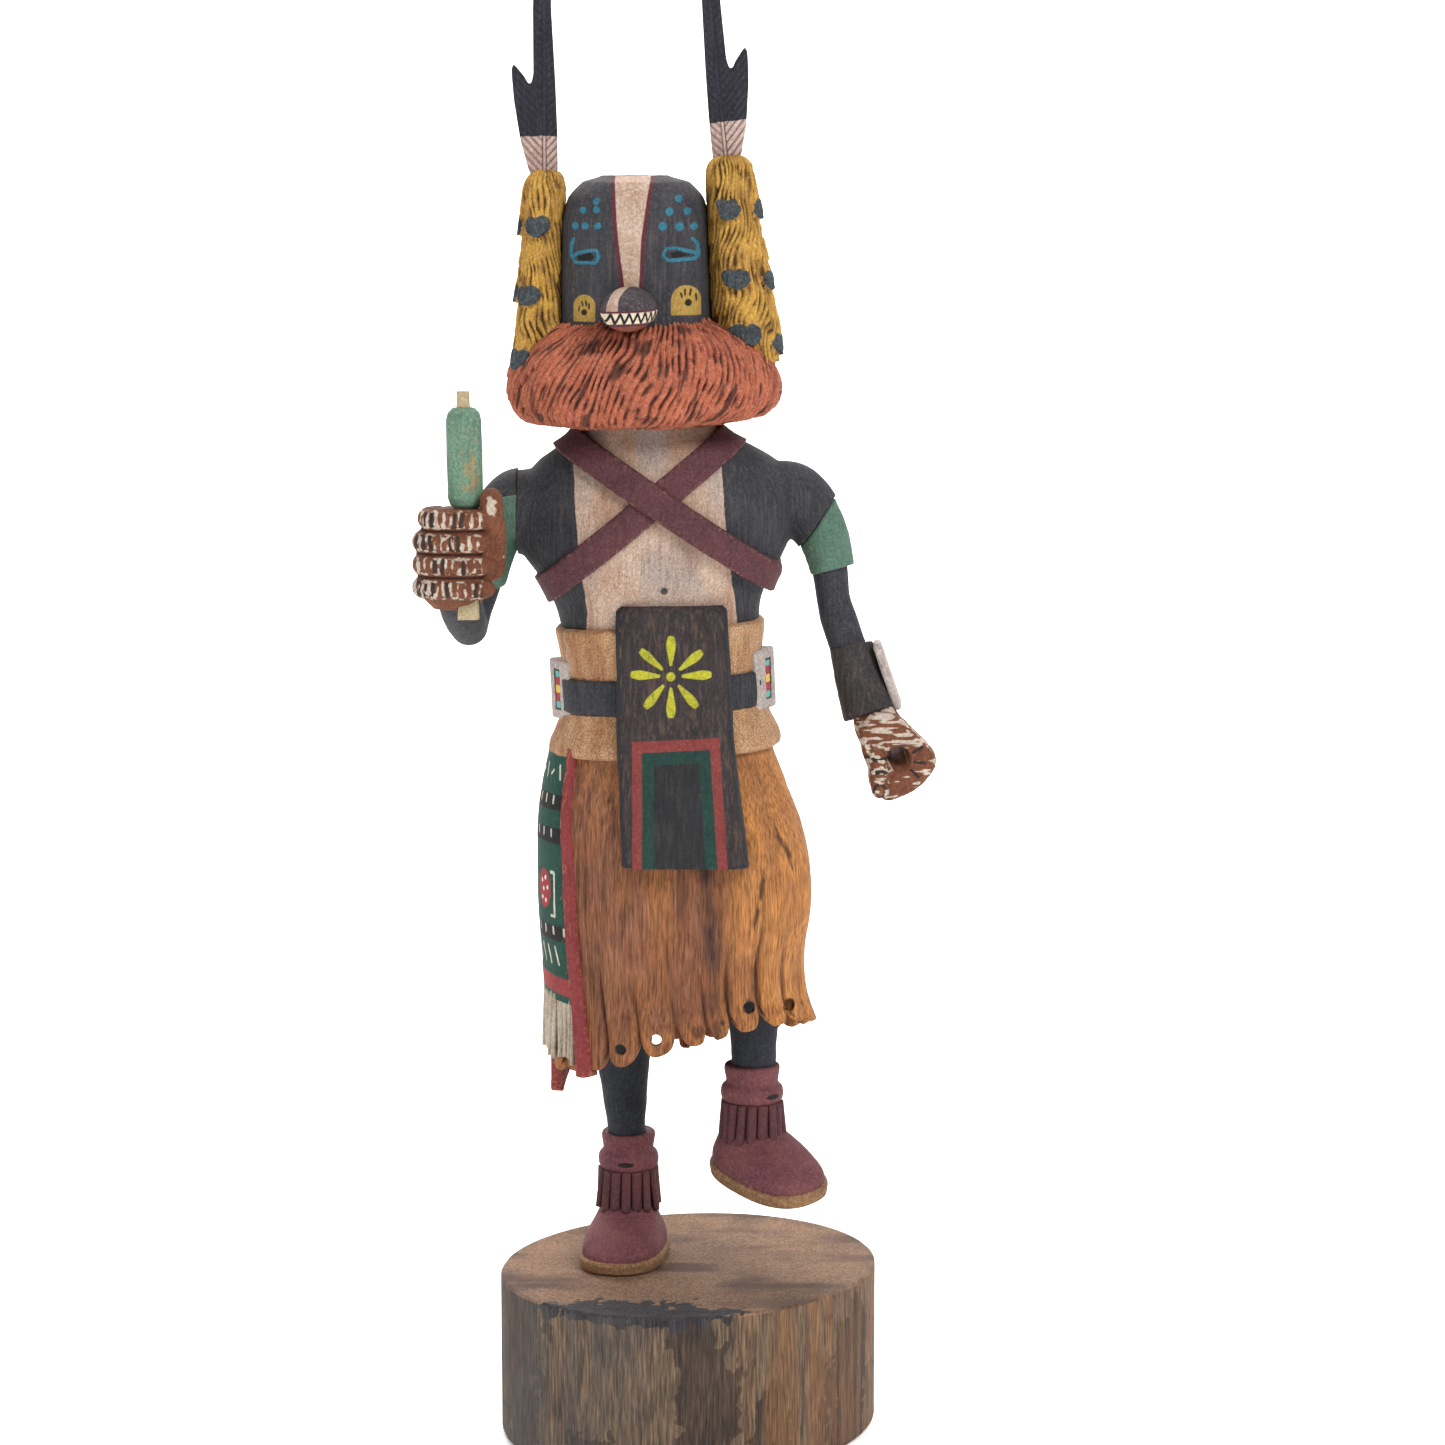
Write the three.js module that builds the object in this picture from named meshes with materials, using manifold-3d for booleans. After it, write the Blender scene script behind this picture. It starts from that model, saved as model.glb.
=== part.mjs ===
// A carved and painted wooden dancer with a badger mask, standing on one foot on a slice of log.
// Millimetres, +Z up. The dancer faces -Y, and the origin is the middle of the log's underside.
// Forms are given as rows of sections: free carved forms, in a frame whose floor is the log's top.

import * as THREE from "three";
import { mergeVertices } from "three/addons/utils/BufferGeometryUtils.js";
import Module from "manifold-3d";

const wasm = await Module();
wasm.setup();

// Driving sizes of the log and the dancer
const logHeight = 46; // underside to top
const logDiameter = 103.5; // mean, of the sawn slice
const figureHeight = 301; // sole to the crown of the mask
const unit = figureHeight / 301; // the carver's unit: every form below is drawn 301 of them tall

// Sizes of the pieces that are made apart and fitted
const fitGap = 0.3; // between two pieces that meet
const flatness = 0.12; // how far a facet may stray from the carved form
const featherLength = 78; // out of the tuft
const featherThickness = 2.4;
const tangDepth = 5; // of a feather's foot in its tuft
const gourdDiameter = 9.4;
const gourdLength = 26.8;
const handleWidthTop = 3.3; // the handle is square
const handleWidthFoot = 5.5;
const handleStandOut = 4; // of the handle above the gourd
const handleStandBelow = 4.5; // of the handle under the fist

// Relief of what is carved on the body
const strapRelief = 1.8;
const strapWidth = 7.9;
const sashRelief = 1.4;
const plateThickness = 2.4;
const hemWall = 2.8; // of the skirt below its hollow
const hollowDepth = 26; // of the skirt, above its mean hem
const hemHoleDiameter = 2.8;
const fistHoleDiameter = 6.8; // through the lowered hand

const colours = {
  log: "#7d6048",
  figure: "#2b2a2e",
  skirt: "#a8682f",
  arm: "#2c2b30",
  snout: "#55494a",
  feather: "#1f1f23",
  gourd: "#5fa183",
  handle: "#b0a07c",
};
const turn = (degrees) => THREE.MathUtils.degToRad(degrees);

// Value of a row of sections at height z, by a Catmull-Rom curve through the rows; rows rise or fall in z.
function sectionAt(rows, z) {
  const falls = rows[0][0] > rows[rows.length - 1][0];
  let i = rows.findIndex((row) => (falls ? row[0] <= z : row[0] >= z));
  i = Math.min(Math.max(i < 0 ? rows.length - 1 : i, 1), rows.length - 1);
  const [a, b] = [rows[i - 1], rows[i]];
  const before = rows[Math.max(i - 2, 0)];
  const after = rows[Math.min(i + 1, rows.length - 1)];
  const t = Math.min(Math.max((z - a[0]) / (b[0] - a[0]), 0), 1);
  return a.map((value, k) => {
    const slopeA = (b[k] - before[k]) / 2;
    const slopeB = (after[k] - value) / 2;
    const rise = b[k] - value;
    return value + t * (slopeA + t * (3 * rise - 2 * slopeA - slopeB + t * (slopeA + slopeB - 2 * rise)));
  });
}

// Point on a section [z, centreX, centreY, halfWidth, halfDepth, power] at an angle, pushed out by proud.
function pointOn([, x, y, halfWidth, halfDepth, power], angle, z, proud = 0) {
  const bulge = (value) => Math.sign(value) * Math.abs(value) ** (2 / power);
  return new THREE.Vector3(
    x + (halfWidth + proud) * bulge(Math.cos(angle)),
    y + (halfDepth + proud) * bulge(Math.sin(angle)),
    z,
  );
}

// Closed geometry over a grid of points: rings of equal count, capped by a fan at each end.
function closeRings(rings) {
  const count = rings[0].length;
  const points = rings.flat();
  const faces = [];
  const at = (ring, k) => ring * count + (k % count);
  for (let ring = 0; ring + 1 < rings.length; ring += 1) {
    for (let k = 0; k < count; k += 1) {
      faces.push(at(ring, k), at(ring, k + 1), at(ring + 1, k + 1));
      faces.push(at(ring, k), at(ring + 1, k + 1), at(ring + 1, k));
    }
  }
  for (const [ring, flip] of [[0, true], [rings.length - 1, false]]) {
    const hub = points.length;
    points.push(rings[ring].reduce((sum, p) => sum.add(p), new THREE.Vector3()).divideScalar(count));
    for (let k = 0; k < count; k += 1) {
      const pair = flip ? [at(ring, k + 1), at(ring, k)] : [at(ring, k), at(ring, k + 1)];
      faces.push(...pair, hub);
    }
  }
  const geometry = new THREE.BufferGeometry().setFromPoints(points);
  geometry.setIndex(faces);
  return geometry;
}

// Geometry to a solid, turned the right way out.
function solid(geometry) {
  const plain = new THREE.BufferGeometry();
  plain.setAttribute("position", geometry.getAttribute("position"));
  if (geometry.index) plain.setIndex(geometry.index);
  const merged = mergeVertices(plain, 1e-4);
  const build = (triVerts) =>
    new wasm.Manifold(
      new wasm.Mesh({ numProp: 3, vertProperties: merged.attributes.position.array, triVerts }),
    );
  const triangles = new Uint32Array(merged.index.array);
  const made = build(triangles);
  return made.volume() > 0 ? made : build(triangles.map((_, i) => triangles[i - (i % 3) + 2 - (i % 3)]));
}

const union = (parts) => parts.reduce((whole, part) => whole.add(part));
const turns = (count) => Array.from({ length: count }, (_, k) => (k / count) * 2 * Math.PI);

// Skin over level sections from the first row's height to the last's.
// bend(angle, z) may return a height and a push outwards for each point.
function skin(rows, { around = 32, angles = turns(around), heights, proud = 0, yaw = 0, bend } = {}) {
  const levels = heights ?? rows.map((row) => row[0]);
  const rings = levels.map((z) =>
    angles.map((angle) => {
      const shaped = bend ? bend(angle, z) : { z, push: 0 };
      const section = sectionAt(rows, shaped.z);
      const point = pointOn(section, angle, shaped.z, proud + shaped.push);
      const centre = new THREE.Vector3(section[1], section[2], 0);
      return point.sub(centre).applyAxisAngle(new THREE.Vector3(0, 0, 1), yaw).add(centre);
    }),
  );
  return solid(closeRings(rings));
}

// Evenly spaced numbers from first to last.
const spread = (first, last, count) =>
  Array.from({ length: count }, (_, i) => first + ((last - first) * i) / (count - 1));

// Limb along stations [x, y, z, radius, share]. Its sections are square to its path, and share
// stretches them along the direction that wide gives.
const [acrossX, acrossY, acrossZ] = [[1, 0, 0], [0, 1, 0], [0, 0, 1]];

function limb(stations, { around = 10, along = 1, domed = true, wide = acrossX } = {}) {
  const path = new THREE.CatmullRomCurve3(stations.map(([x, y, z]) => new THREE.Vector3(x, y, z)));
  const last = stations.length - 1;
  const ring = (t, swell, shift) => {
    const i = Math.min(Math.floor(t * last), last - 1);
    const f = t * last - i;
    const radius = THREE.MathUtils.lerp(stations[i][3], stations[i + 1][3], f) * swell;
    const share = THREE.MathUtils.lerp(stations[i][4] ?? 1, stations[i + 1][4] ?? 1, f);
    const forward = path.getTangent(t);
    const side = new THREE.Vector3(...wide);
    side.addScaledVector(forward, -side.dot(forward)).normalize();
    const front = forward.clone().cross(side);
    const centre = path.getPoint(t).addScaledVector(forward, shift * radius);
    return turns(around).map((angle) =>
      centre
        .clone()
        .addScaledVector(side, Math.cos(angle) * radius * share)
        .addScaledVector(front, Math.sin(angle) * radius),
    );
  };
  const rings = spread(0, 1, last * along + 1).map((t) => ring(t, 1, 0));
  if (domed) {
    rings.unshift(ring(0, 0.45, -1.6), ring(0, 0.85, -0.55));
    rings.push(ring(1, 0.85, 0.55), ring(1, 0.45, 1.6));
  }
  return solid(closeRings(rings));
}

// Block with its middle at a point, turned about Z, then leaned about Y.
function block([width, depth, height], [x, y, z], { yaw = 0, lean = 0 } = {}) {
  const geometry = new THREE.BoxGeometry(width, depth, height);
  geometry.rotateZ(yaw);
  geometry.rotateY(lean);
  geometry.translate(x, y, z);
  return solid(geometry);
}

// Round bar from one point to another.
function bar(from, to, radiusFrom, radiusTo, around = 20) {
  const [a, b] = [new THREE.Vector3(...from), new THREE.Vector3(...to)];
  const geometry = new THREE.CylinderGeometry(radiusTo, radiusFrom, a.distanceTo(b), around);
  geometry.rotateY(Math.PI / around);
  const rise = b.clone().sub(a).normalize();
  geometry.applyQuaternion(new THREE.Quaternion().setFromUnitVectors(new THREE.Vector3(0, 1, 0), rise));
  geometry.translate(...a.add(b).divideScalar(2).toArray());
  return solid(geometry);
}

// Panel that lies on a skin between two angles, from a height down to a foot that varies with angle.
// relief(across, z) is its height over the skin, where across runs from 0 to 1.
function panel(rows, [startAngle, endAngle], topZ, footAt, relief, { across = 8, down = 9 } = {}) {
  const sunk = 3;
  const rings = spread(0, 1, down).map((t) => {
    const outline = (count, proudAt) =>
      spread(0, 1, count).map((share) => {
        const angle = turn(THREE.MathUtils.lerp(startAngle, endAngle, share));
        const z = THREE.MathUtils.lerp(topZ, footAt(share), t);
        return pointOn(sectionAt(rows, z), angle, z, proudAt(share, z));
      });
    return [...outline(across, relief), ...outline(4, () => -sunk).reverse()];
  });
  return solid(closeRings(rings));
}

// Sections of the dancer's forms: [z, centreX, centreY, halfWidth, halfDepth, power]

const torsoRows = [
  [168, -6.6, 1, 26.8, 20, 2.3],
  [180, -7.6, 1, 27, 19.5, 2.3],
  [187.5, -8.4, 1, 28.2, 20, 2.3],
  [193.8, -9, 1, 31, 20.8, 2.3],
  [199, -9.5, 1, 34.6, 21.4, 2.4],
  [205, -9.5, 1, 37.4, 21.6, 2.4],
  [213, -9, 1, 38, 21, 2.4],
  [220, -8.6, 1, 36.4, 19.6, 2.3],
  [226, -8.2, 1, 32, 18, 2.2],
  [229.5, -8.8, 1, 26.6, 17, 2.1],
  [233, -9.6, 1, 20.4, 15.5, 2],
  [238, -10.6, 1, 16, 14, 2],
  [246, -11.2, 1, 14, 13, 2],
];

const waistRows = [
  [182, -6.9, 0.5, 27.4, 20.6, 2.4],
  [180, -6.9, 0.5, 28.6, 21.6, 2.4],
  [169, -6.9, 0.5, 27.1, 20.4, 2.4],
  [168.4, -6.9, 0.5, 28.1, 21.4, 2.4],
  [159, -6.9, 0.5, 28.1, 21.4, 2.4],
  [158.4, -6.9, 0.5, 27.9, 21, 2.4],
  [151, -7, 0.5, 31.2, 24.2, 2.4],
  [148.8, -7, 0.5, 31.9, 24.8, 2.4],
  [147, -7, 0.5, 30.4, 23.4, 2.4],
];

const skirtRows = [
  [150, -6.9, 0, 29.4, 22.8, 2.2],
  [136, -5.7, 0, 33.2, 25.4, 2.2],
  [127, -4.4, 0, 35.6, 27, 2.2],
  [115, -3.1, 0, 37, 28.2, 2.2],
  [104, -2.9, 0, 37.1, 28.8, 2.2],
  [90, -3.5, 0, 35.6, 28.6, 2.2],
  [80, -2.8, 0, 35.6, 29, 2.2],
  [70, -1.1, 0, 37.2, 30.4, 2.2],
  [56, 0.2, 0, 38.4, 31.4, 2.2],
];

const apronRows = [
  [190, -4.3, -14, 14.2, 8, 5],
  [188.6, -4.3, -14, 15, 9, 5],
  [178, -4, -15.5, 15.3, 9.5, 5],
  [164, -3.5, -16.5, 15.6, 9.5, 5],
  [150, -3.1, -19, 16.1, 10, 5],
  [134, -1.8, -21.6, 16.5, 10, 5],
  [119, -0.6, -23.2, 17.3, 10, 5],
];

const maskRows = [
  [252, -13.4, 0, 19.5, 19.2, 2.8],
  [262, -13.6, 0, 20.4, 20, 2.9],
  [280, -13.8, 0, 19.9, 19.8, 2.9],
  [291, -13.9, 0, 19.6, 19.4, 2.8],
  [296.6, -13.9, 0, 18.5, 18.2, 2.7],
  [299.7, -13.9, 0, 15, 14.8, 2.5],
  [301, -14, 0, 8.5, 8.5, 2.2],
];

const ruffRows = [
  [235, -11.7, 0, 24, 20, 2.4],
  [236.4, -11.7, 0, 32.4, 27, 2.5],
  [240.4, -11.7, 0, 36.4, 30.5, 2.5],
  [247.4, -11.7, 0, 37.3, 31.4, 2.4],
  [254.6, -12, 0, 34.7, 29.5, 2.3],
  [260.6, -12.5, 0, 28, 25.4, 2.4],
  [265.5, -13.3, 0, 19, 18.8, 2.8],
];

// The two ear tufts: rows of each, then the heights at which its three tiers of feather tips end
const tuftLeftRows = [
  [303.4, -37.8, 0, 3.6, 6, 2.2],
  [301, -38, 0, 5.7, 9, 2.3],
  [290, -38.4, 0, 6.3, 11.5, 2.4],
  [272, -39, 0, 6.8, 13, 2.4],
  [258, -39.6, 0, 8, 13.5, 2.4],
  [249.5, -41.6, 0, 6.6, 12.5, 2.4],
];
const tuftRightRows = [
  [307.2, 11, 0, 4.2, 6, 2.2],
  [305, 11.2, 0, 6.4, 9, 2.3],
  [294, 12, 0, 7.5, 11.5, 2.4],
  [276, 14.4, 0, 8, 13, 2.4],
  [262, 16.4, 0, 8.3, 13.5, 2.4],
  [252.5, 19, 0, 6.4, 12.5, 2.4],
];

// The log: a slightly oval slice, flat above and below, its outline a little to the rear
function logBase() {
  const edgeRound = { top: 0.8, foot: 2.2 };
  const rearward = 2.4;
  const outline = (z, shrink) =>
    turns(48).map((a) => {
      const radius = (logDiameter / 2) * (1 + 0.055 * Math.cos(2 * (a - turn(40)))) - shrink;
      return new THREE.Vector3(radius * Math.cos(a), radius * Math.sin(a) + rearward, z);
    });
  const levels = [
    [0, edgeRound.foot],
    [edgeRound.foot, 0],
    [logHeight - edgeRound.top, 0],
    [logHeight, edgeRound.top],
  ];
  return solid(closeRings(levels.map(([z, shrink]) => outline(z, shrink))));
}

// Torso, with a boss at each shoulder that the arm pieces meet
const raisedJoint = { at: [-46, 1, 211.5], lean: 0, side: -1 };
const loweredJoint = { at: [34.8, 1, 208.8], lean: turn(35), side: 1 };

// Everything beyond a joint's face, outwards for towards = 1 and inwards for -1, from gap past the face.
function beyond({ at, lean, side }, towards, gap = 0) {
  const size = 60;
  const outwards = new THREE.Vector3(side, 0, 0).applyAxisAngle(new THREE.Vector3(0, 1, 0), lean);
  const middle = new THREE.Vector3(...at).addScaledVector(outwards, gap + (towards * size) / 2);
  return block([size, size, size / 2], middle.toArray(), { lean });
}

function torso() {
  const trunk = skin(torsoRows, { around: 24 });
  const raisedBoss = limb(
    [
      [-36, 1, 212, 10.6],
      [-42, 1, 211.6, 11.6],
      [-47, 1, 211.6, 11.4],
    ],
    { wide: acrossY },
  );
  const loweredBoss = limb(
    [[22, 1, 216.6, 9], [28.5, 1, 215.8, 9.2], [33.4, 0.8, 211, 8.6], [37, 0.5, 205, 7.4]],
    { wide: acrossY },
  );
  const withRaised = trunk.add(raisedBoss).subtract(beyond(raisedJoint, 1));
  return withRaised.add(loweredBoss.subtract(beyond(loweredJoint, 1)));
}

// Crossed shoulder straps: what a slanting slab cuts out of a slightly thicker torso
function strap([x1, z1], [x2, z2], relief) {
  const middle = [(x1 + x2) / 2, 0, (z1 + z2) / 2];
  const slab = block([140, 80, strapWidth], middle, { lean: -Math.atan2(z2 - z1, x2 - x1) });
  const lowest = 186; // the straps end under the arms, above the belt
  const band = skin(torsoRows, { around: 24, proud: relief });
  const room = block([68.5, 80, 60], [-8.7, 0, lowest + 30]);
  return band.intersect(slab).intersect(room);
}

function waist() {
  const belt = skin(waistRows, { around: 24 });
  const lean = turn(-2.4); // the belt sits a little lower on the raised hand's side
  const [x, z] = [-6.9, 164];
  return belt.translate([-x, 0, -z]).rotate([0, THREE.MathUtils.radToDeg(lean), 0]).translate([x, 0, z]);
}

// Plate on the belt over each hip
function hipPlate(side) {
  const [width, height] = [13, 16.6];
  const facing = turn(side < 0 ? 26 : -24);
  const x = side < 0 ? -32.6 : 18.9;
  const size = [plateThickness + 3, width, height];
  return block(size, [x, -3.5, 165 + side * 1.4], { yaw: facing, lean: turn(-2.4) });
}

// Skirt: fluted towards a hem of rounded tabs, hollow below, with a few holes through its tabs
const hemRoof = 62 + hollowDepth; // height of the hollow's roof
const tabCount = 28;
const notchDepth = 6;
const tabShares = [0, 0.2, 0.5, 0.8]; // where a tab's outline has a corner, notch first
const tabAngles = Array.from({ length: tabCount }, (_, tab) =>
  tabShares.map((share) => ((tab + share) / tabCount) * 2 * Math.PI),
).flat();
const fromTabMiddle = (angle) => Math.abs(2 * (((angle / (2 * Math.PI)) * tabCount) % 1) - 1);
const meanHem = (angle) => 64.2 + 8.2 * Math.cos(angle + turn(42)) + 1.6 * Math.cos(2 * (angle + turn(42)));
const notchAt = (angle) => notchDepth * fromTabMiddle(angle + 1e-6) ** 3;

function skirt() {
  const top = 150;
  const flute = (angle, z) => {
    const fade = Math.max(0, (104 - z) / 40);
    return -1.1 * fade * fromTabMiddle(angle + 1e-6) ** 3;
  };
  const outer = skin(skirtRows, {
    angles: tabAngles,
    heights: [0, 0.24, 0.5, 0.78, 1],
    bend: (angle, share) => {
      const z = top + (meanHem(angle) - top) * share + (share === 1 ? notchAt(angle) : 0);
      return { z, push: flute(angle, z) };
    },
  });
  const hollow = skin(skirtRows, { around: 20, heights: [hemRoof, hemRoof - 12, 50], proud: -hemWall });
  const holes = [
    [-18.2, 68.5],
    [-8.6, 71.5],
    [16.6, 79.5],
    [27.6, 78],
  ].map(([x, z]) => bar([x, -45, z], [x, -12, z], hemHoleDiameter / 2, hemHoleDiameter / 2, 10));
  return holes.reduce((body, hole) => body.subtract(hole), outer.subtract(hollow));
}

// Sash over the hip: the embroidered front tail with its fringe, and the plain tail behind it
function sash() {
  const fringeTop = 74;
  const strands = 7;
  const fringed = (share, z) => {
    const strand = 0.55 * Math.sin(share * strands * Math.PI) ** 2;
    return z > fringeTop ? sashRelief : sashRelief - 1 + strand;
  };
  const front = panel(skirtRows, [168, 228], 149, () => 61, fringed, { across: 2 * strands + 1, down: 8 });
  const rear = panel(skirtRows, [140, 173], 149, (share) => 62 - 13 * share, () => 0.8, { across: 5 });
  return front.add(rear);
}

const apron = () => skin(apronRows, { around: 20 });

// Pelt that hangs from the belt behind
const pelt = () =>
  limb([
    [-6, 19, 158, 5, 1.2],
    [-5, 27, 132, 6.5, 1.3],
    [-3, 32, 100, 7, 1.3],
    [-1, 34, 74, 6, 1.2],
    [-1, 35, 56, 2.2, 1],
  ]);

// Moccasin with its ankle over the origin, toe to -Y: sole, shoe, fringe, roll and cuff
const moccasinHeight = 35;
function moccasin() {
  const shoeRows = [
    [0, 0, -7.5, 11.6, 19, 2.5],
    [2.8, 0, -7.5, 12.2, 19.6, 2.5],
    [3.5, 0, -7.4, 11.3, 18.7, 2.5],
    [6.2, 0, -6.4, 10.8, 17.2, 2.4],
    [9.4, 0, -3.6, 9.8, 13.6, 2.2],
    [12.4, 0, -0.8, 8.6, 10, 2],
    [14, 0, 0, 7.6, 8.4, 2],
  ];
  const legRows = [
    [12, 0, 0, 8.8, 9.4, 2],
    [13, 0, 0, 9.2, 9.8, 2],
    [24.6, 0, 0, 7.6, 8.2, 2],
    [25.4, 0, 0, 8.4, 8.9, 2],
    [29.2, 0, 0, 8.2, 8.6, 2],
    [30, 0, 0, 7.1, 7.5, 2],
    [moccasinHeight, 0, 0, 7.6, 8, 2],
  ];
  const strips = 11;
  const fringe = (angle, z) => ({ z, push: z > 12.5 && z < 24.8 ? 0.5 * Math.cos(strips * angle) : 0 });
  return skin(shoeRows, { around: 18 }).add(skin(legRows, { around: strips * 2, bend: fringe }));
}

const standingFoot = { at: [-17.2, 15.5, 0], yaw: -8 };
const raisedFoot = { at: [17.6, 2, 22.3], yaw: 42 };
const placed = (part, { at, yaw }) => part.rotate([0, 0, yaw]).translate(at);

function legs() {
  const standing = limb([
    [-15, 2, 92, 8.8],
    [-17.4, 6, 72, 8.2],
    [-18.3, 9, 58, 7.4],
    [-17.8, 13, 40, 5.6],
    [-17.3, 15, 30, 5.2],
  ]);
  const raised = limb([
    [16, 1, 92, 8.8],
    [17.6, 0, 76, 7.4],
    [18.1, 1, 66, 6.6],
    [17.8, 2, 54, 6],
    [17.6, 2, 46, 6],
  ]);
  return union([standing, raised, placed(moccasin(), standingFoot), placed(moccasin(), raisedFoot)]);
}

// Mask, ruff and ear tufts
const maskYaw = turn(-5); // the face is turned a little to the raised hand

function ruff(proud) {
  const strands = 18;
  const twist = (angle, z) => ({ z, push: 0.55 * Math.cos(strands * angle + (z - 236) * 0.16) });
  return skin(ruffRows, { around: 3 * strands, proud, bend: proud ? undefined : twist });
}

// Tuft whose skin steps out over each tier of lobed tips, like shingles
function tuft(rows, tierEnds) {
  const step = 1.3;
  const lobe = 1.8;
  const heights = [rows[0][0], rows[1][0]];
  tierEnds.forEach((end, i) => {
    const above = i ? tierEnds[i - 1] : rows[1][0];
    heights.push((above + end) / 2, end + 0.5, end);
  });
  const shingle = (angle, z) => {
    const i = tierEnds.findIndex((end) => end <= z);
    const end = tierEnds[Math.max(i, 0)];
    const onTier = i >= 0 && z < rows[1][0];
    const above = i > 0 ? tierEnds[i - 1] : rows[1][0];
    const share = onTier ? (above - z) / (above - end) : 0;
    const rise = z < end + 1 ? lobe * Math.cos(4 * angle) ** 2 : 0;
    return { z: z + rise, push: z === end && i < tierEnds.length - 1 ? 0 : step * share };
  };
  return skin(rows, { around: 16, heights, bend: shingle });
}

const tuftLeft = () => tuft(tuftLeftRows, [284.5, 266.5, 250]);
const tuftRight = () => tuft(tuftRightRows, [290.5, 271.5, 254]);

// Tall feather in a tuft: a flat blade with a spur on its outer side, its foot in the tuft
const featherBlade = [
  [-1.8, -1],
  [-4.4, 0.01],
  [-6.5, 0.11],
  [-8.1, 0.24],
  [-8.7, 0.36],
  [-3.7, 0.28],
  [-2.9, 0.32],
  [-2.9, 0.55],
  [-2.3, 0.8],
  [-1.1, 0.95],
  [0.2, 1],
  [1.2, 0.94],
  [1.9, 0.8],
  [2.1, 0.55],
  [3.1, 0.3],
  [3.5, 0.15],
  [3.6, 0.01],
  [1.8, -1],
];

function feather({ foot, lean, outer, grow = 0 }) {
  const outline = featherBlade.map(([x, share]) => [
    -outer * (x + Math.sign(x) * grow),
    share < 0 ? -tangDepth - grow : share * featherLength,
  ]);
  const shape = new THREE.Shape(outline.map(([x, z]) => new THREE.Vector2(x, z)));
  const depth = featherThickness + 2 * grow;
  const geometry = new THREE.ExtrudeGeometry(shape, { depth, bevelEnabled: false });
  geometry.rotateX(Math.PI / 2);
  geometry.translate(0, depth / 2, 0);
  geometry.rotateY(lean);
  geometry.translate(...foot);
  return solid(geometry);
}
const featherLeft = { foot: [-38.3, 0, 303], lean: 0, outer: -1 };
const featherRight = { foot: [10.3, 0, 306.8], lean: turn(-6), outer: 1 };

// Badger's snout, set against the mask just over the ruff
function snout() {
  const muzzle = limb(
    [
      [-14.4, -14, 267.8, 5.2, 1.3],
      [-15.1, -20, 267.7, 5.7, 1.28],
      [-15.6, -26, 267.3, 5.6, 1.28],
      [-15.9, -31, 266.9, 4.8, 1.3],
    ],
    { around: 14, along: 2 },
  );
  const mask = skin(maskRows, { around: 26, yaw: maskYaw, proud: fitGap });
  return muzzle.subtract(mask).subtract(ruff(fitGap + 0.6));
}

// Rattle: a gourd on a square, tapering handle that leans a little
const gourdFoot = 216;
const fistFoot = 191.4;
const handleAxis = { foot: [-57.5, -35.8, fistFoot - handleStandBelow], lean: turn(-0.9) };
const onHandle = (z) => {
  const [x, y, footZ] = handleAxis.foot;
  return [x + (z - footZ) * Math.tan(handleAxis.lean), y, z];
};

function gourdShape(grow) {
  const radius = gourdDiameter / 2;
  const profile = [
    [0, 0],
    [0.62, 0],
    [0.88, 0.04],
    [1, 0.11],
    [1, 0.87],
    [0.9, 0.94],
    [0.62, 0.99],
    [0, 1],
  ].map(([r, t]) => new THREE.Vector2(r && r * radius + grow, -grow + t * (gourdLength + 2 * grow)));
  const geometry = new THREE.LatheGeometry(profile, 20);
  geometry.rotateX(Math.PI / 2);
  geometry.rotateY(handleAxis.lean);
  geometry.translate(...onHandle(gourdFoot));
  return solid(geometry);
}

function handleBar(grow) {
  const corner = Math.SQRT2;
  const top = onHandle(gourdFoot + gourdLength + handleStandOut);
  const radii = [handleWidthFoot, handleWidthTop].map((width) => (width / 2 + grow) * corner);
  return bar(handleAxis.foot, top, ...radii, 4);
}

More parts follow.
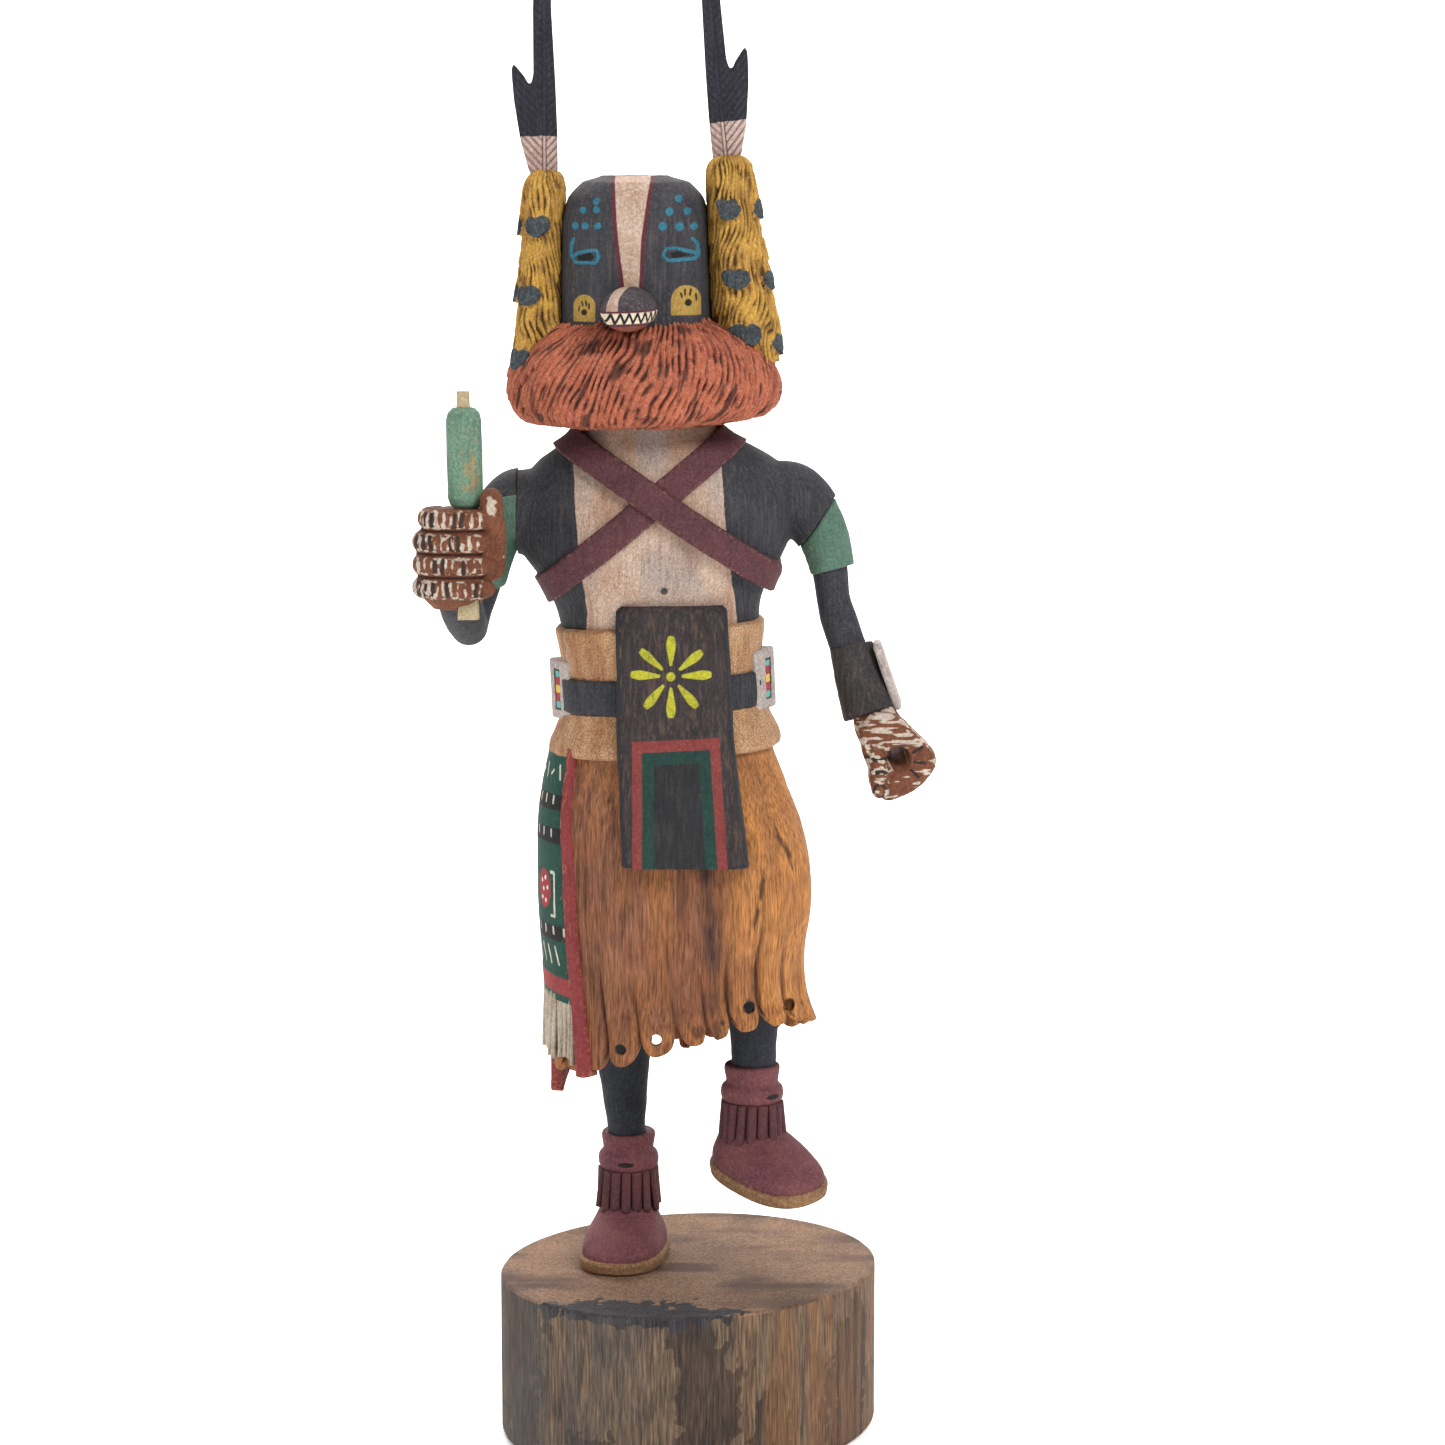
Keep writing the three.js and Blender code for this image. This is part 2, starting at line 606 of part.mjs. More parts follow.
// Raised arm: a fist of four fingers and a thumb round the handle
function raisedArm() {
  const upper = limb(
    [
      [-40, 1, 211.6, 11.6],
      [-46.5, 1, 212, 11.2],
      [-51.8, 1, 208.5, 8],
      [-54.8, 0.6, 200, 6.6],
      [-58.2, -1.2, 188, 6.1],
      [-60.4, -4, 181, 5.8],
    ],
    { wide: acrossY },
  );
  const band = limb(
    [
      [-53.2, 0.8, 215, 7.2],
      [-54.8, 0.6, 205, 7.7],
      [-58, -1, 190.6, 7.1],
    ],
    { domed: false, wide: acrossY },
  );
  const fore = limb([
    [-60.5, -4, 180.8, 5.8],
    [-61.4, -12, 184.5, 6],
    [-61.4, -21, 191, 6.3],
    [-60.8, -28, 199, 7],
  ]);
  const palm = skin(
    [
      [189.4, -61.4, -33, 5.5, 5, 2.6],
      [192, -61.4, -33, 8, 7.2, 2.8],
      [197, -61, -33, 9.7, 8.2, 2.8],
      [202, -60.6, -33, 10.7, 8.4, 2.8],
      [208, -60, -33, 10.8, 8.4, 2.8],
      [214, -58.9, -33, 9.8, 8, 2.8],
      [216, -58.6, -33, 7.6, 6, 2.6],
    ],
    { around: 16 },
  );
  const fingerPitch = 6.1;
  const fingers = [0, 1, 2, 3].map((i) => {
    const z = 213.6 - i * fingerPitch;
    const knuckle = i ? -69.4 : -67.6;
    return limb(
      [
        [knuckle + 2, -31, z, 2.9],
        [knuckle, -36, z, 3],
        [-66, -40.2, z, 3],
        [-60, -41.6, z, 3],
        [-54.9, -41.2, z, 2.8],
        [-52.6, -39, z, 2.4],
      ],
      { around: 8, wide: acrossZ },
    );
  });
  const thumb = limb([
    [-51.2, -33, 200, 3.2],
    [-50.4, -37.4, 208.5, 3.1],
    [-50.9, -40, 215, 3.1],
    [-51, -40.8, 219, 3],
  ]);
  const body = union([upper, band, fore, palm, thumb, ...fingers]);
  const cut = union([beyond(raisedJoint, -1, fitGap), handleBar(fitGap), gourdShape(fitGap)]);
  return body.subtract(cut);
}

// Lowered arm: armband, cuff with its plate, and a closed hand with a hole through it
function loweredArm() {
  const wide = acrossY;
  const upper = limb(
    [
      [35, 1, 212, 5.4],
      [38.4, 0, 197, 4.9],
      [39.6, -0.6, 188, 4.6],
      [41.2, -1.4, 182, 4.9],
      [44.2, -3.2, 173, 5],
    ],
    { wide },
  );
  const band = limb(
    [
      [33.4, 1, 214.5, 6.4],
      [37, 0.6, 205, 6.8],
      [39.4, 0, 196, 6.1],
    ],
    { domed: false, wide },
  );
  const cuff = limb(
    [
      [44.4, -3.4, 175.6, 5.7],
      [46.6, -4.8, 167, 5.8],
      [49.9, -6.6, 157.2, 6.8],
    ],
    { domed: false, wide },
  );
  const wrist = limb(
    [
      [49.6, -6.6, 160, 5],
      [51.4, -8.6, 155, 6.4, 0.85],
      [54, -10.6, 149.6, 6.6, 0.85],
    ],
    { wide },
  );
  const plateTurn = { yaw: turn(-14), lean: turn(-17.5) };
  const plate = block([plateThickness, 10, 17.4], [54.6, -5.4, 168.4], plateTurn);
  const shape = new THREE.Shape();
  const outline = [
    [46.2, 155],
    [46.8, 149],
    [48.8, 143.3],
    [49.4, 138.6],
    [53.1, 135],
    [57.1, 135.6],
    [62.7, 138.6],
    [66.8, 144],
    [66.6, 147.6],
    [61.4, 153.4],
    [56, 158],
    [50, 158.4],
    [46.2, 155],
  ].map(([x, z]) => new THREE.Vector2(x, z));
  shape.moveTo(...outline[0].toArray());
  shape.splineThru(outline.slice(1));
  const bevel = { bevelThickness: 2.6, bevelSize: 2, bevelOffset: -1.8, bevelSegments: 2 };
  const fist = new THREE.ExtrudeGeometry(shape, { depth: 8.4, curveSegments: 18, ...bevel });
  fist.rotateX(Math.PI / 2);
  fist.translate(0, -7.6, 0);
  const thumb = limb(
    [
      [50.8, -15, 152, 2.4],
      [51.3, -18.4, 146.5, 2.4],
      [51.8, -19, 138.4, 2.4],
    ],
    { around: 10 },
  );
  const grip = bar([57, 20, 146.5], [57, -40, 146.5], fistHoleDiameter / 2, fistHoleDiameter / 2, 16);
  const sleeve = band.add(upper).subtract(beyond(loweredJoint, -1, fitGap));
  return union([sleeve, cuff, wrist, solid(fist), thumb, plate]).subtract(grip);
}

// A solid as a named mesh, in the part's frame
function piece(name, made, colour, lift = logHeight) {
  const { vertProperties, triVerts, numProp, numVert } = made.simplify(flatness).getMesh();
  const points = new Float32Array(numVert * 3);
  for (let i = 0; i < numVert; i += 1) {
    points.set(vertProperties.subarray(i * numProp, i * numProp + 3), i * 3);
  }
  const geometry = new THREE.BufferGeometry();
  geometry.setAttribute("position", new THREE.BufferAttribute(points, 3));
  geometry.setIndex(new THREE.BufferAttribute(triVerts, 1));
  geometry.computeVertexNormals();
  const material = new THREE.MeshStandardMaterial({ color: colour, roughness: 0.8, metalness: 0 });
  const mesh = new THREE.Mesh(geometry, material);
  mesh.name = name;
  mesh.position.z = lift;
  mesh.scale.setScalar(lift ? unit : 1);
  return mesh;
}

// What hangs from the belt is drawn as one form. Its thin hem, round the hollow, is a solid of its own.
const hangings = union([skirt(), sash(), pelt()]);
const hemRoom = block([200, 200, 100], [0, 0, hemRoof - 50]);
const hem = hangings.intersect(hemRoom).subtract(legs());
const aboveHem = hangings.subtract(hemRoom.translate([0, 0, fitGap]));

const slots = [featherLeft, featherRight].map((place) => feather({ ...place, grow: fitGap }));
const carved = union([
  torso(),
  strap([-33.4, 232.8], [23.9, 194.5], 1.6 * strapRelief),
  strap([11.7, 232.6], [-39.8, 190.6], strapRelief),
  waist(),
  hipPlate(-1),
  hipPlate(1),
  aboveHem,
  apron(),
  legs(),
  skin(maskRows, { around: 26, yaw: maskYaw }),
  ruff(0),
  tuftLeft(),
  tuftRight(),
]);

const dancer = new THREE.Group();
dancer.add(piece("log_base", logBase(), colours.log, 0));
dancer.add(piece("carved_dancer", carved.subtract(union(slots)), colours.figure));
dancer.add(piece("skirt_hem", hem, colours.skirt));
dancer.add(piece("raised_arm", raisedArm(), colours.arm));
dancer.add(piece("lowered_arm", loweredArm(), colours.arm));
dancer.add(piece("badger_snout", snout(), colours.snout));
dancer.add(piece("tall_feather_left", feather(featherLeft), colours.feather));
dancer.add(piece("tall_feather_right", feather(featherRight), colours.feather));
dancer.add(piece("rattle_gourd", gourdShape(0).subtract(handleBar(fitGap)), colours.gourd));
dancer.add(piece("rattle_handle", handleBar(0), colours.handle));

export default dancer;
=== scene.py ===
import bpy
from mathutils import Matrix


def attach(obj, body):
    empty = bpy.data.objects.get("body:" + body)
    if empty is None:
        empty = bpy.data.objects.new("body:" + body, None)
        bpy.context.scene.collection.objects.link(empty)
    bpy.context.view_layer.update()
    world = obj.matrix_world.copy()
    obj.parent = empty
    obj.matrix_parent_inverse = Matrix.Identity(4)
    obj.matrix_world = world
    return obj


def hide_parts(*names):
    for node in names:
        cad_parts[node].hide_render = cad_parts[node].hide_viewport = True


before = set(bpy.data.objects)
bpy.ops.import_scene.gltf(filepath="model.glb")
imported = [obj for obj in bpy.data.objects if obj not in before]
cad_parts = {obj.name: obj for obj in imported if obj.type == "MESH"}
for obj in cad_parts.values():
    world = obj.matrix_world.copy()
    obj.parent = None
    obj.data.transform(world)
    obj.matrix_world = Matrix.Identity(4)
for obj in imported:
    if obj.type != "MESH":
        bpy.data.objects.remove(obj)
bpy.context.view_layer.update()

import math
from functools import partial
from itertools import product

import bpy
import numpy as np
from mathutils import Vector

logHeight = 46.0
turn = math.radians
lattice = np.random.default_rng(11).uniform(-1, 1, (64, 64, 64))


# Helpers for forms

def sectionAt(rows, z):
    # sections are [z, centre x, centre y, half width, half depth, power]
    rows = np.asarray(rows, float)
    if rows[0, 0] > rows[-1, 0]:
        rows = rows[::-1]
    z = np.asarray(z, float)
    i = np.clip(np.searchsorted(rows[:, 0], z), 1, len(rows) - 1)
    a, b = rows[i - 1], rows[i]
    before, after = rows[np.maximum(i - 2, 0)], rows[np.minimum(i + 1, len(rows) - 1)]
    t = unit((z - a[..., 0]) / (b[..., 0] - a[..., 0]))[..., None]
    slopeA, slopeB, rise = (b - before) / 2, (after - a) / 2, b - a
    return a + t * (slopeA + t * (3 * rise - 2 * slopeA - slopeB + t * (slopeA + slopeB - 2 * rise)))


def unit(value):
    return np.clip(value, 0, 1)


def runUp(steps):
    # distance run at each point, from the steps between them
    return np.concatenate([[0], np.cumsum(steps)])


def bulge(value, power):
    return np.sign(value) * np.abs(value) ** (2 / power)


def onSkin(rows, angle, z, proud=0.0, yaw=0.0):
    s = sectionAt(rows, z)
    x = (s[..., 3] + proud) * bulge(np.cos(angle), s[..., 5])
    y = (s[..., 4] + proud) * bulge(np.sin(angle), s[..., 5])
    c, n = math.cos(yaw), math.sin(yaw)
    return np.stack([s[..., 1] + c * x - n * y, s[..., 2] + n * x + c * y, np.broadcast_to(z, x.shape)], -1)


def evenAngles(rows, count, frontWeight=1.0):
    # angles with even spacing along the middle section, closer together at the front
    fine = np.linspace(0, 2 * math.pi, 8001)
    middle = rows[len(rows) // 2][0]
    p = onSkin(rows, fine, np.full_like(fine, middle))
    step = np.linalg.norm(np.diff(p, axis=0), axis=1)
    step = step * (1 + (frontWeight - 1) * (np.sin(fine[1:]) < -0.05))
    run = runUp(step)
    return np.interp(np.arange(count) / count * run[-1], run, fine)


def spline(points, count):
    # smooth path through points
    p = np.asarray(points, float)
    p = np.vstack([2 * p[0] - p[1], p, 2 * p[-1] - p[-2]])
    t = np.linspace(0, len(points) - 1 - 1e-9, count)
    i = t.astype(int)
    f = (t - i)[:, None]
    a, b, c, d = p[i], p[i + 1], p[i + 2], p[i + 3]
    return 0.5 * (2 * b + f * (c - a + f * (2 * a - 5 * b + 4 * c - d + f * (3 * b - a - 3 * c + d))))


def limb(stations, around=40, along=14, domed=True, wide=(1, 0, 0)):
    # rings along stations [x, y, z, radius, share]; share stretches them towards wide
    rows = np.array([list(s) + [1] * (5 - len(s)) for s in stations], float)
    path = spline(rows, along * (len(rows) - 1) + 1)
    centre, radius, share = path[:, :3], path[:, 3], path[:, 4]
    forward = np.gradient(centre, axis=0)
    forward /= np.linalg.norm(forward, axis=1)[:, None]
    shift, swell = np.zeros(len(path)), np.ones(len(path))
    if domed:
        # a dome of six rings at each end
        cap = np.linspace(math.pi / 2, 0.12, 7)
        start, end = cap[::-1][:-1], cap[1:]
        grow = lambda v: np.concatenate([np.repeat(v[:1], 6, 0), v, np.repeat(v[-1:], 6, 0)])
        shift = np.concatenate([-np.cos(start), shift, np.cos(end)])
        swell = np.concatenate([np.sin(start), swell, np.sin(end)])
        centre, radius, share, forward = (grow(v) for v in (centre, radius, share, forward))
    side = np.asarray(wide, float) - forward * (forward @ np.asarray(wide, float))[:, None]
    side /= np.linalg.norm(side, axis=1)[:, None]
    front = np.cross(forward, side)
    angle = np.arange(around) / around * 2 * math.pi
    middle = centre + forward * (shift * radius)[:, None]
    out = (side * (radius * share * swell)[:, None])[:, None, :] * np.cos(angle)[None, :, None]
    return middle[:, None, :] + out + (front * (radius * swell)[:, None])[:, None, :] * np.sin(angle)[None, :, None]


def noiseAt(points, size, seed=0):
    # smooth noise from -1 to 1 with features of that size in mm
    p = np.asarray(points, float) / size + 17.3 * seed + 500
    i = np.floor(p).astype(int)
    f = p - i
    f = f * f * (3 - 2 * f)
    total = 0
    for corner in product((0, 1), repeat=3):
        weight = np.prod(np.where(np.array(corner, bool), f, 1 - f), axis=-1)
        spot = (i + np.array(corner)) % 64
        total = total + weight * lattice[spot[..., 0], spot[..., 1], spot[..., 2]]
    return total


def toMesh(name, points, faces, lift=logHeight):
    mesh = bpy.data.meshes.new(name)
    placed = (np.asarray(points, float) + [0, 0, lift]) / 1000
    mesh.from_pydata(placed, [], faces)
    mesh.validate()
    mesh.update()
    piece = bpy.data.objects.new(name, mesh)
    bpy.context.scene.collection.objects.link(piece)
    return piece


def gridFaces(rows, columns, start=0, wrapped=True, capped=True):
    r, c = np.meshgrid(np.arange(rows - 1), np.arange(columns if wrapped else columns - 1), indexing="ij")
    at = lambda i, k: start + i * columns + k % columns
    faces = np.stack([at(r, c), at(r, c + 1), at(r + 1, c + 1), at(r + 1, c)], -1).reshape(-1, 4).tolist()
    if capped:
        hub = start + rows * columns
        faces += [[at(0, k + 1), at(0, k), hub] for k in range(columns)]
        faces += [[at(rows - 1, k), at(rows - 1, k + 1), hub + 1] for k in range(columns)]
    return faces


def gridSolid(name, *grids, lift=logHeight):
    # closed solids over grids of rings, in one mesh
    points, faces = [], []
    for grid in grids:
        rows, columns = grid.shape[:2]
        start = sum(len(p) for p in points)
        points.append(np.vstack([grid.reshape(-1, 3), grid[0].mean(0), grid[-1].mean(0)]))
        faces += gridFaces(rows, columns, start)
    piece = toMesh(name, np.vstack(points), faces, lift)
    outwards(piece)
    return piece


def outwards(piece):
    bpy.context.view_layer.objects.active = piece
    bpy.ops.object.select_all(action="DESELECT")
    piece.select_set(True)
    bpy.ops.object.mode_set(mode="EDIT")
    bpy.ops.mesh.select_all(action="SELECT")
    bpy.ops.mesh.normals_make_consistent(inside=False)
    bpy.ops.object.mode_set(mode="OBJECT")


def settle(piece):
    # the piece's modifiers, made part of its mesh
    made = bpy.data.meshes.new_from_object(piece.evaluated_get(bpy.context.evaluated_depsgraph_get()))
    piece.modifiers.clear()
    old, piece.data = piece.data, made
    made.name = piece.name
    bpy.data.meshes.remove(old)
    return piece


def blend(piece, voxel, smooth):
    # a skin of even small faces over all forms in the piece, softened a little
    remesh = piece.modifiers.new("join", "REMESH")
    remesh.mode, remesh.voxel_size = "VOXEL", voxel / 1000
    if smooth:
        piece.modifiers.new("soften", "SMOOTH").iterations = smooth
    return settle(piece)


def carve(name, *grids, voxel=0.5, smooth=6):
    # several forms made one, with the soft creases of a knife
    return blend(gridSolid(name, *grids), voxel, smooth)


def cut(piece, tool, operation="DIFFERENCE"):
    change = piece.modifiers.new("cut", "BOOLEAN")
    change.operation = operation
    change.solver = "MANIFOLD"
    change.object = tool
    settle(piece)
    bpy.data.objects.remove(tool)
    return piece


def box(name, size, middle, yaw=0.0, lean=0.0):
    # block turned about Z, then leaned about Y
    corners = np.array(list(product((-0.5, 0.5), repeat=3))) * size
    c, n = math.cos(yaw), math.sin(yaw)
    corners = corners @ np.array([[c, n, 0], [-n, c, 0], [0, 0, 1]])
    c, n = math.cos(lean), math.sin(lean)
    corners = corners @ np.array([[c, 0, -n], [0, 1, 0], [n, 0, c]]) + middle
    faces = [[0, 1, 3, 2], [4, 6, 7, 5], [0, 4, 5, 1], [2, 3, 7, 6], [0, 2, 6, 4], [1, 5, 7, 3]]
    piece = toMesh(name, corners, faces)
    outwards(piece)
    return piece


def spots(piece):
    found = np.empty(len(piece.data.vertices) * 3)
    piece.data.vertices.foreach_get("co", found)
    return found.reshape(-1, 3) * 1000 - [0, 0, logHeight]


def push(piece, amount):
    # moves points along their normals, in mm
    normals = np.empty(len(piece.data.vertices) * 3)
    piece.data.vertices.foreach_get("normal", normals)
    moved = spots(piece) + normals.reshape(-1, 3) * np.asarray(amount)[:, None] + [0, 0, logHeight]
    piece.data.vertices.foreach_set("co", (moved / 1000).ravel())
    piece.data.update()


def roughen(piece, *waves, lift=0.0):
    # the unevenness of carving, as waves of [height, size, seed] in mm
    p = spots(piece)
    push(piece, sum(height * noiseAt(p, size, seed) for height, size, seed in waves) + lift)


def mark(piece, **values):
    for name, value in values.items():
        held = piece.data.attributes.new(name, "FLOAT", "POINT")
        held.data.foreach_set("value",
                              np.ascontiguousarray(np.broadcast_to(value, len(piece.data.vertices)), np.float32))


# Painted shapes as a distance in mm, negative inside

def discs(p, circles):
    return np.min([np.hypot(p[:, 0] - x, p[:, 1] - z) - r for x, z, r in circles], axis=0)


def strokes(p, lines, width):
    best = np.full(len(p), 99.0)
    for line in lines:
        for a, b in zip(line[:-1], line[1:]):
            a, d = np.array(a, float), np.array(b, float) - np.array(a, float)
            t = unit(((p - a) @ d) / max(d @ d, 1e-9))
            best = np.minimum(best, np.linalg.norm(p - a - t[:, None] * d, axis=1))
    return best - width / 2


def oval(x, z, middleX, middleZ, halfX, halfZ):
    # as a share of the oval's own size
    return np.hypot((x - middleX) / halfX, (z - middleZ) / halfZ) - 1


def within(value, low, high):
    return np.maximum(low - value, value - high)


def polygon(p, corners):
    corners = np.array(corners, float)
    inside = np.zeros(len(p), bool)
    for a, b in zip(corners, np.roll(corners, -1, 0)):
        crosses = (a[1] > p[:, 1]) != (b[1] > p[:, 1])
        rise = b[1] - a[1] if abs(b[1] - a[1]) > 1e-9 else 1e-9
        inside ^= crosses & (p[:, 0] < a[0] + (p[:, 1] - a[1]) * (b[0] - a[0]) / rise)
    edge = strokes(p, [list(map(tuple, corners)) + [tuple(corners[0])]], 0)
    return np.where(inside, -edge, edge)


# Materials

def linear(code):
    parts = [int(code[i : i + 2], 16) / 255 for i in (1, 3, 5)]
    return [v / 12.92 if v <= 0.04045 else ((v + 0.055) / 1.055) ** 2.4 for v in parts] + [1.0]


def addNode(tree, kind, *numbered, inputs=None, **settings):
    node = tree.nodes.new(kind)
    for key, value in settings.items():
        setattr(node, key, value)
    for key, value in {**dict(enumerate(numbered)), **(inputs or {})}.items():
        value = value.outputs[0] if isinstance(value, bpy.types.Node) else value
        if isinstance(value, bpy.types.NodeSocket):
            tree.links.new(value, node.inputs[key])
        else:
            node.inputs[key].default_value = value
    return node


def paintedWood(name, look):
    # Matt paint brushed on carved root wood: dull, a little uneven, thin on edges, the grain just showing.
    material = bpy.data.materials.new(name)
    material.use_nodes = True
    tree = material.node_tree
    add = partial(addNode, tree)
    shader = tree.nodes["Principled BSDF"]
    here = add("ShaderNodeTexCoord").outputs["Object"]
    painted = lambda name: add("ShaderNodeAttribute", attribute_name=name).outputs["Fac"]
    broad = add("ShaderNodeTexNoise", inputs={"Vector": here, "Scale": 1000 / look.get("shadeSize", 9), "Detail": 4})
    drawn = add("ShaderNodeMapping", inputs={"Vector": here, "Scale": (1, 1, 1 / look.get("speckStretch", 1.0))})
    speck = add("ShaderNodeTexNoise",
                inputs={"Vector": drawn, "Scale": 1000 / look.get("speckSize", 0.9), "Detail": 2})
    across, along = look.get("grainSize", (0.8, 14))  # mm
    stretch = add("ShaderNodeMapping", inputs={"Vector": here, "Scale": (1000 / across, 1000 / across, 1000 / along)})
    if "strands" in look:  # the grain follows the combed strands instead
        width, length, slant = look["strands"]
        u, v = painted("across"), painted("along")
        u = add("ShaderNodeMath", v, slant, u, operation="MULTIPLY_ADD")
        u = add("ShaderNodeMath", u, width, operation="DIVIDE")
        v = add("ShaderNodeMath", v, length, operation="DIVIDE")
        stretch = add("ShaderNodeCombineXYZ", inputs={"X": u, "Y": v, "Z": broad})
    grain = add("ShaderNodeTexNoise", inputs={"Vector": stretch, "Scale": 1.0, "Detail": 3, "Roughness": 0.6})
    patches = add("ShaderNodeTexNoise",
                  inputs={"Vector": here, "Scale": 1000 / look.get("patchSize", 16), "Detail": 3})

    def mixed(under, over, field, low, high, amount=1.0):
        share = add("ShaderNodeMapRange",
                    inputs={"Value": field, "From Min": low, "From Max": high, "To Max": amount})
        return add("ShaderNodeMix", inputs={0: share, 6: under, 7: over}, data_type="RGBA").outputs[2]

    def coat(base, shade, grainColour, grainAmount, specks, speckAmount):
        colour = mixed(linear(base), linear(shade), broad, 0.38, 0.68)
        colour = mixed(colour, linear(grainColour), grain, 0.5, 0.66, grainAmount)
        return mixed(colour, linear(specks), speck, 0.45, 0.62, speckAmount)

    colour = coat(*look["coat"])
    wobble = add("ShaderNodeMath", broad, look.get("wobble", 0.5), -0.5 * look.get("wobble", 0.5),
                 operation="MULTIPLY_ADD")
    for attribute, layer in look.get("layers", {}).items():
        shape = painted(attribute)
        edge = add("ShaderNodeMath", shape, wobble, operation="ADD")
        colour = mixed(colour, coat(*layer) if isinstance(layer, tuple) else linear(layer), edge, 0.12, -0.12)
    for attribute, (wash, amount) in look.get("washes", {}).items():
        spread = painted(attribute)
        colour = mixed(colour, linear(wash), spread, 0.0, 1.0, amount)
    if "patch" in look:
        colour = mixed(colour, linear(look["patch"][0]), patches, 0.48, 0.66, look["patch"][1])
    if "groove" in look:
        deep = painted("groove")
        dark, low, high, amount = look["groove"]
        colour = mixed(colour, linear(dark), deep, low, high, amount)
    ridge = add("ShaderNodeNewGeometry").outputs["Pointiness"]
    # painted shade: hollows and creases darkened towards near-black, found by the mesh's pointiness
    colour = mixed(colour, linear("#1d1816"), ridge, 0.485, 0.42, look.get("hollowShade", 0.55))
    if "wear" in look:
        patch = add("ShaderNodeMath", speck, 0.16, ridge, operation="MULTIPLY_ADD")
        bare, start, amount = look["wear"]
        colour = mixed(colour, linear(bare), patch, start, start + 0.03, amount)
    fine = add("ShaderNodeTexNoise",
               inputs={"Vector": drawn, "Scale": 1000 / look.get("mottleSize", 0.5), "Detail": 3, "Roughness": 0.7})
    texture = add("ShaderNodeMath", grain, 0.6, fine, operation="MULTIPLY_ADD")
    depth = look.get("mottle", 0.3)
    lift = add("ShaderNodeMapRange",
               inputs={"Value": texture, "From Min": 0.6, "From Max": 1.0, "To Min": 1 - depth, "To Max": 1 + depth})
    colour = add("ShaderNodeVectorMath", inputs={0: colour, "Scale": lift}, operation="SCALE").outputs[0]
    tree.links.new(colour, shader.inputs["Base Color"])
    for socket, value in (("Roughness", 0.78), ("IOR", 1.45), ("Specular IOR Level", 0.3)):
        shader.inputs[socket].default_value = value
    height = add("ShaderNodeMath", grain, look.get("grainDepth", 0.6), speck, operation="MULTIPLY_ADD")
    bump = add("ShaderNodeBump", inputs={"Height": height, "Strength": look.get("bump", 0.35), "Distance": 0.00025})
    tree.links.new(bump.outputs[0], shader.inputs["Normal"])
    return material


def dress(piece, material, slot, *nodes):
    if material:
        piece.data.materials.clear()
        piece.data.materials.append(material)
    piece.data.polygons.foreach_set("use_smooth", np.ones(len(piece.data.polygons), bool))
    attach(piece, "root")
    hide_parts(*nodes)
    return piece


# the slot and the nodes that a piece stands for
onDancer = ("dancer_paint", "carved_dancer")
onSkirt = (*onDancer, "skirt_hem")
onRaisedArm = ("arm_paint", "raised_arm")
onLoweredArm = ("arm_paint", "lowered_arm")


# Geometry Nodes

def newTree(name, *labels):
    tree = bpy.data.node_groups.new(name, "GeometryNodeTree")
    tree.interface.new_socket("Geometry", in_out="OUTPUT", socket_type="NodeSocketGeometry")
    tree.interface.new_socket("Geometry", in_out="INPUT", socket_type="NodeSocketGeometry")
    kinds = {"Count": "NodeSocketInt", "Seed": "NodeSocketInt", "Material": "NodeSocketMaterial"}
    for label in (*labels, "Seed", "Material"):
        tree.interface.new_socket(label, in_out="INPUT", socket_type=kinds.get(label, "NodeSocketFloat"))
    return tree, tree.nodes.new("NodeGroupInput"), tree.nodes.new("NodeGroupOutput")


def applyTree(piece, tree, values):
    grown = piece.modifiers.new(tree.name, "NODES")
    grown.node_group = tree
    for socket in tree.interface.items_tree:
        if socket.in_out == "INPUT" and socket.name in values:
            grown[socket.identifier] = values[socket.name]
    return settle(piece)


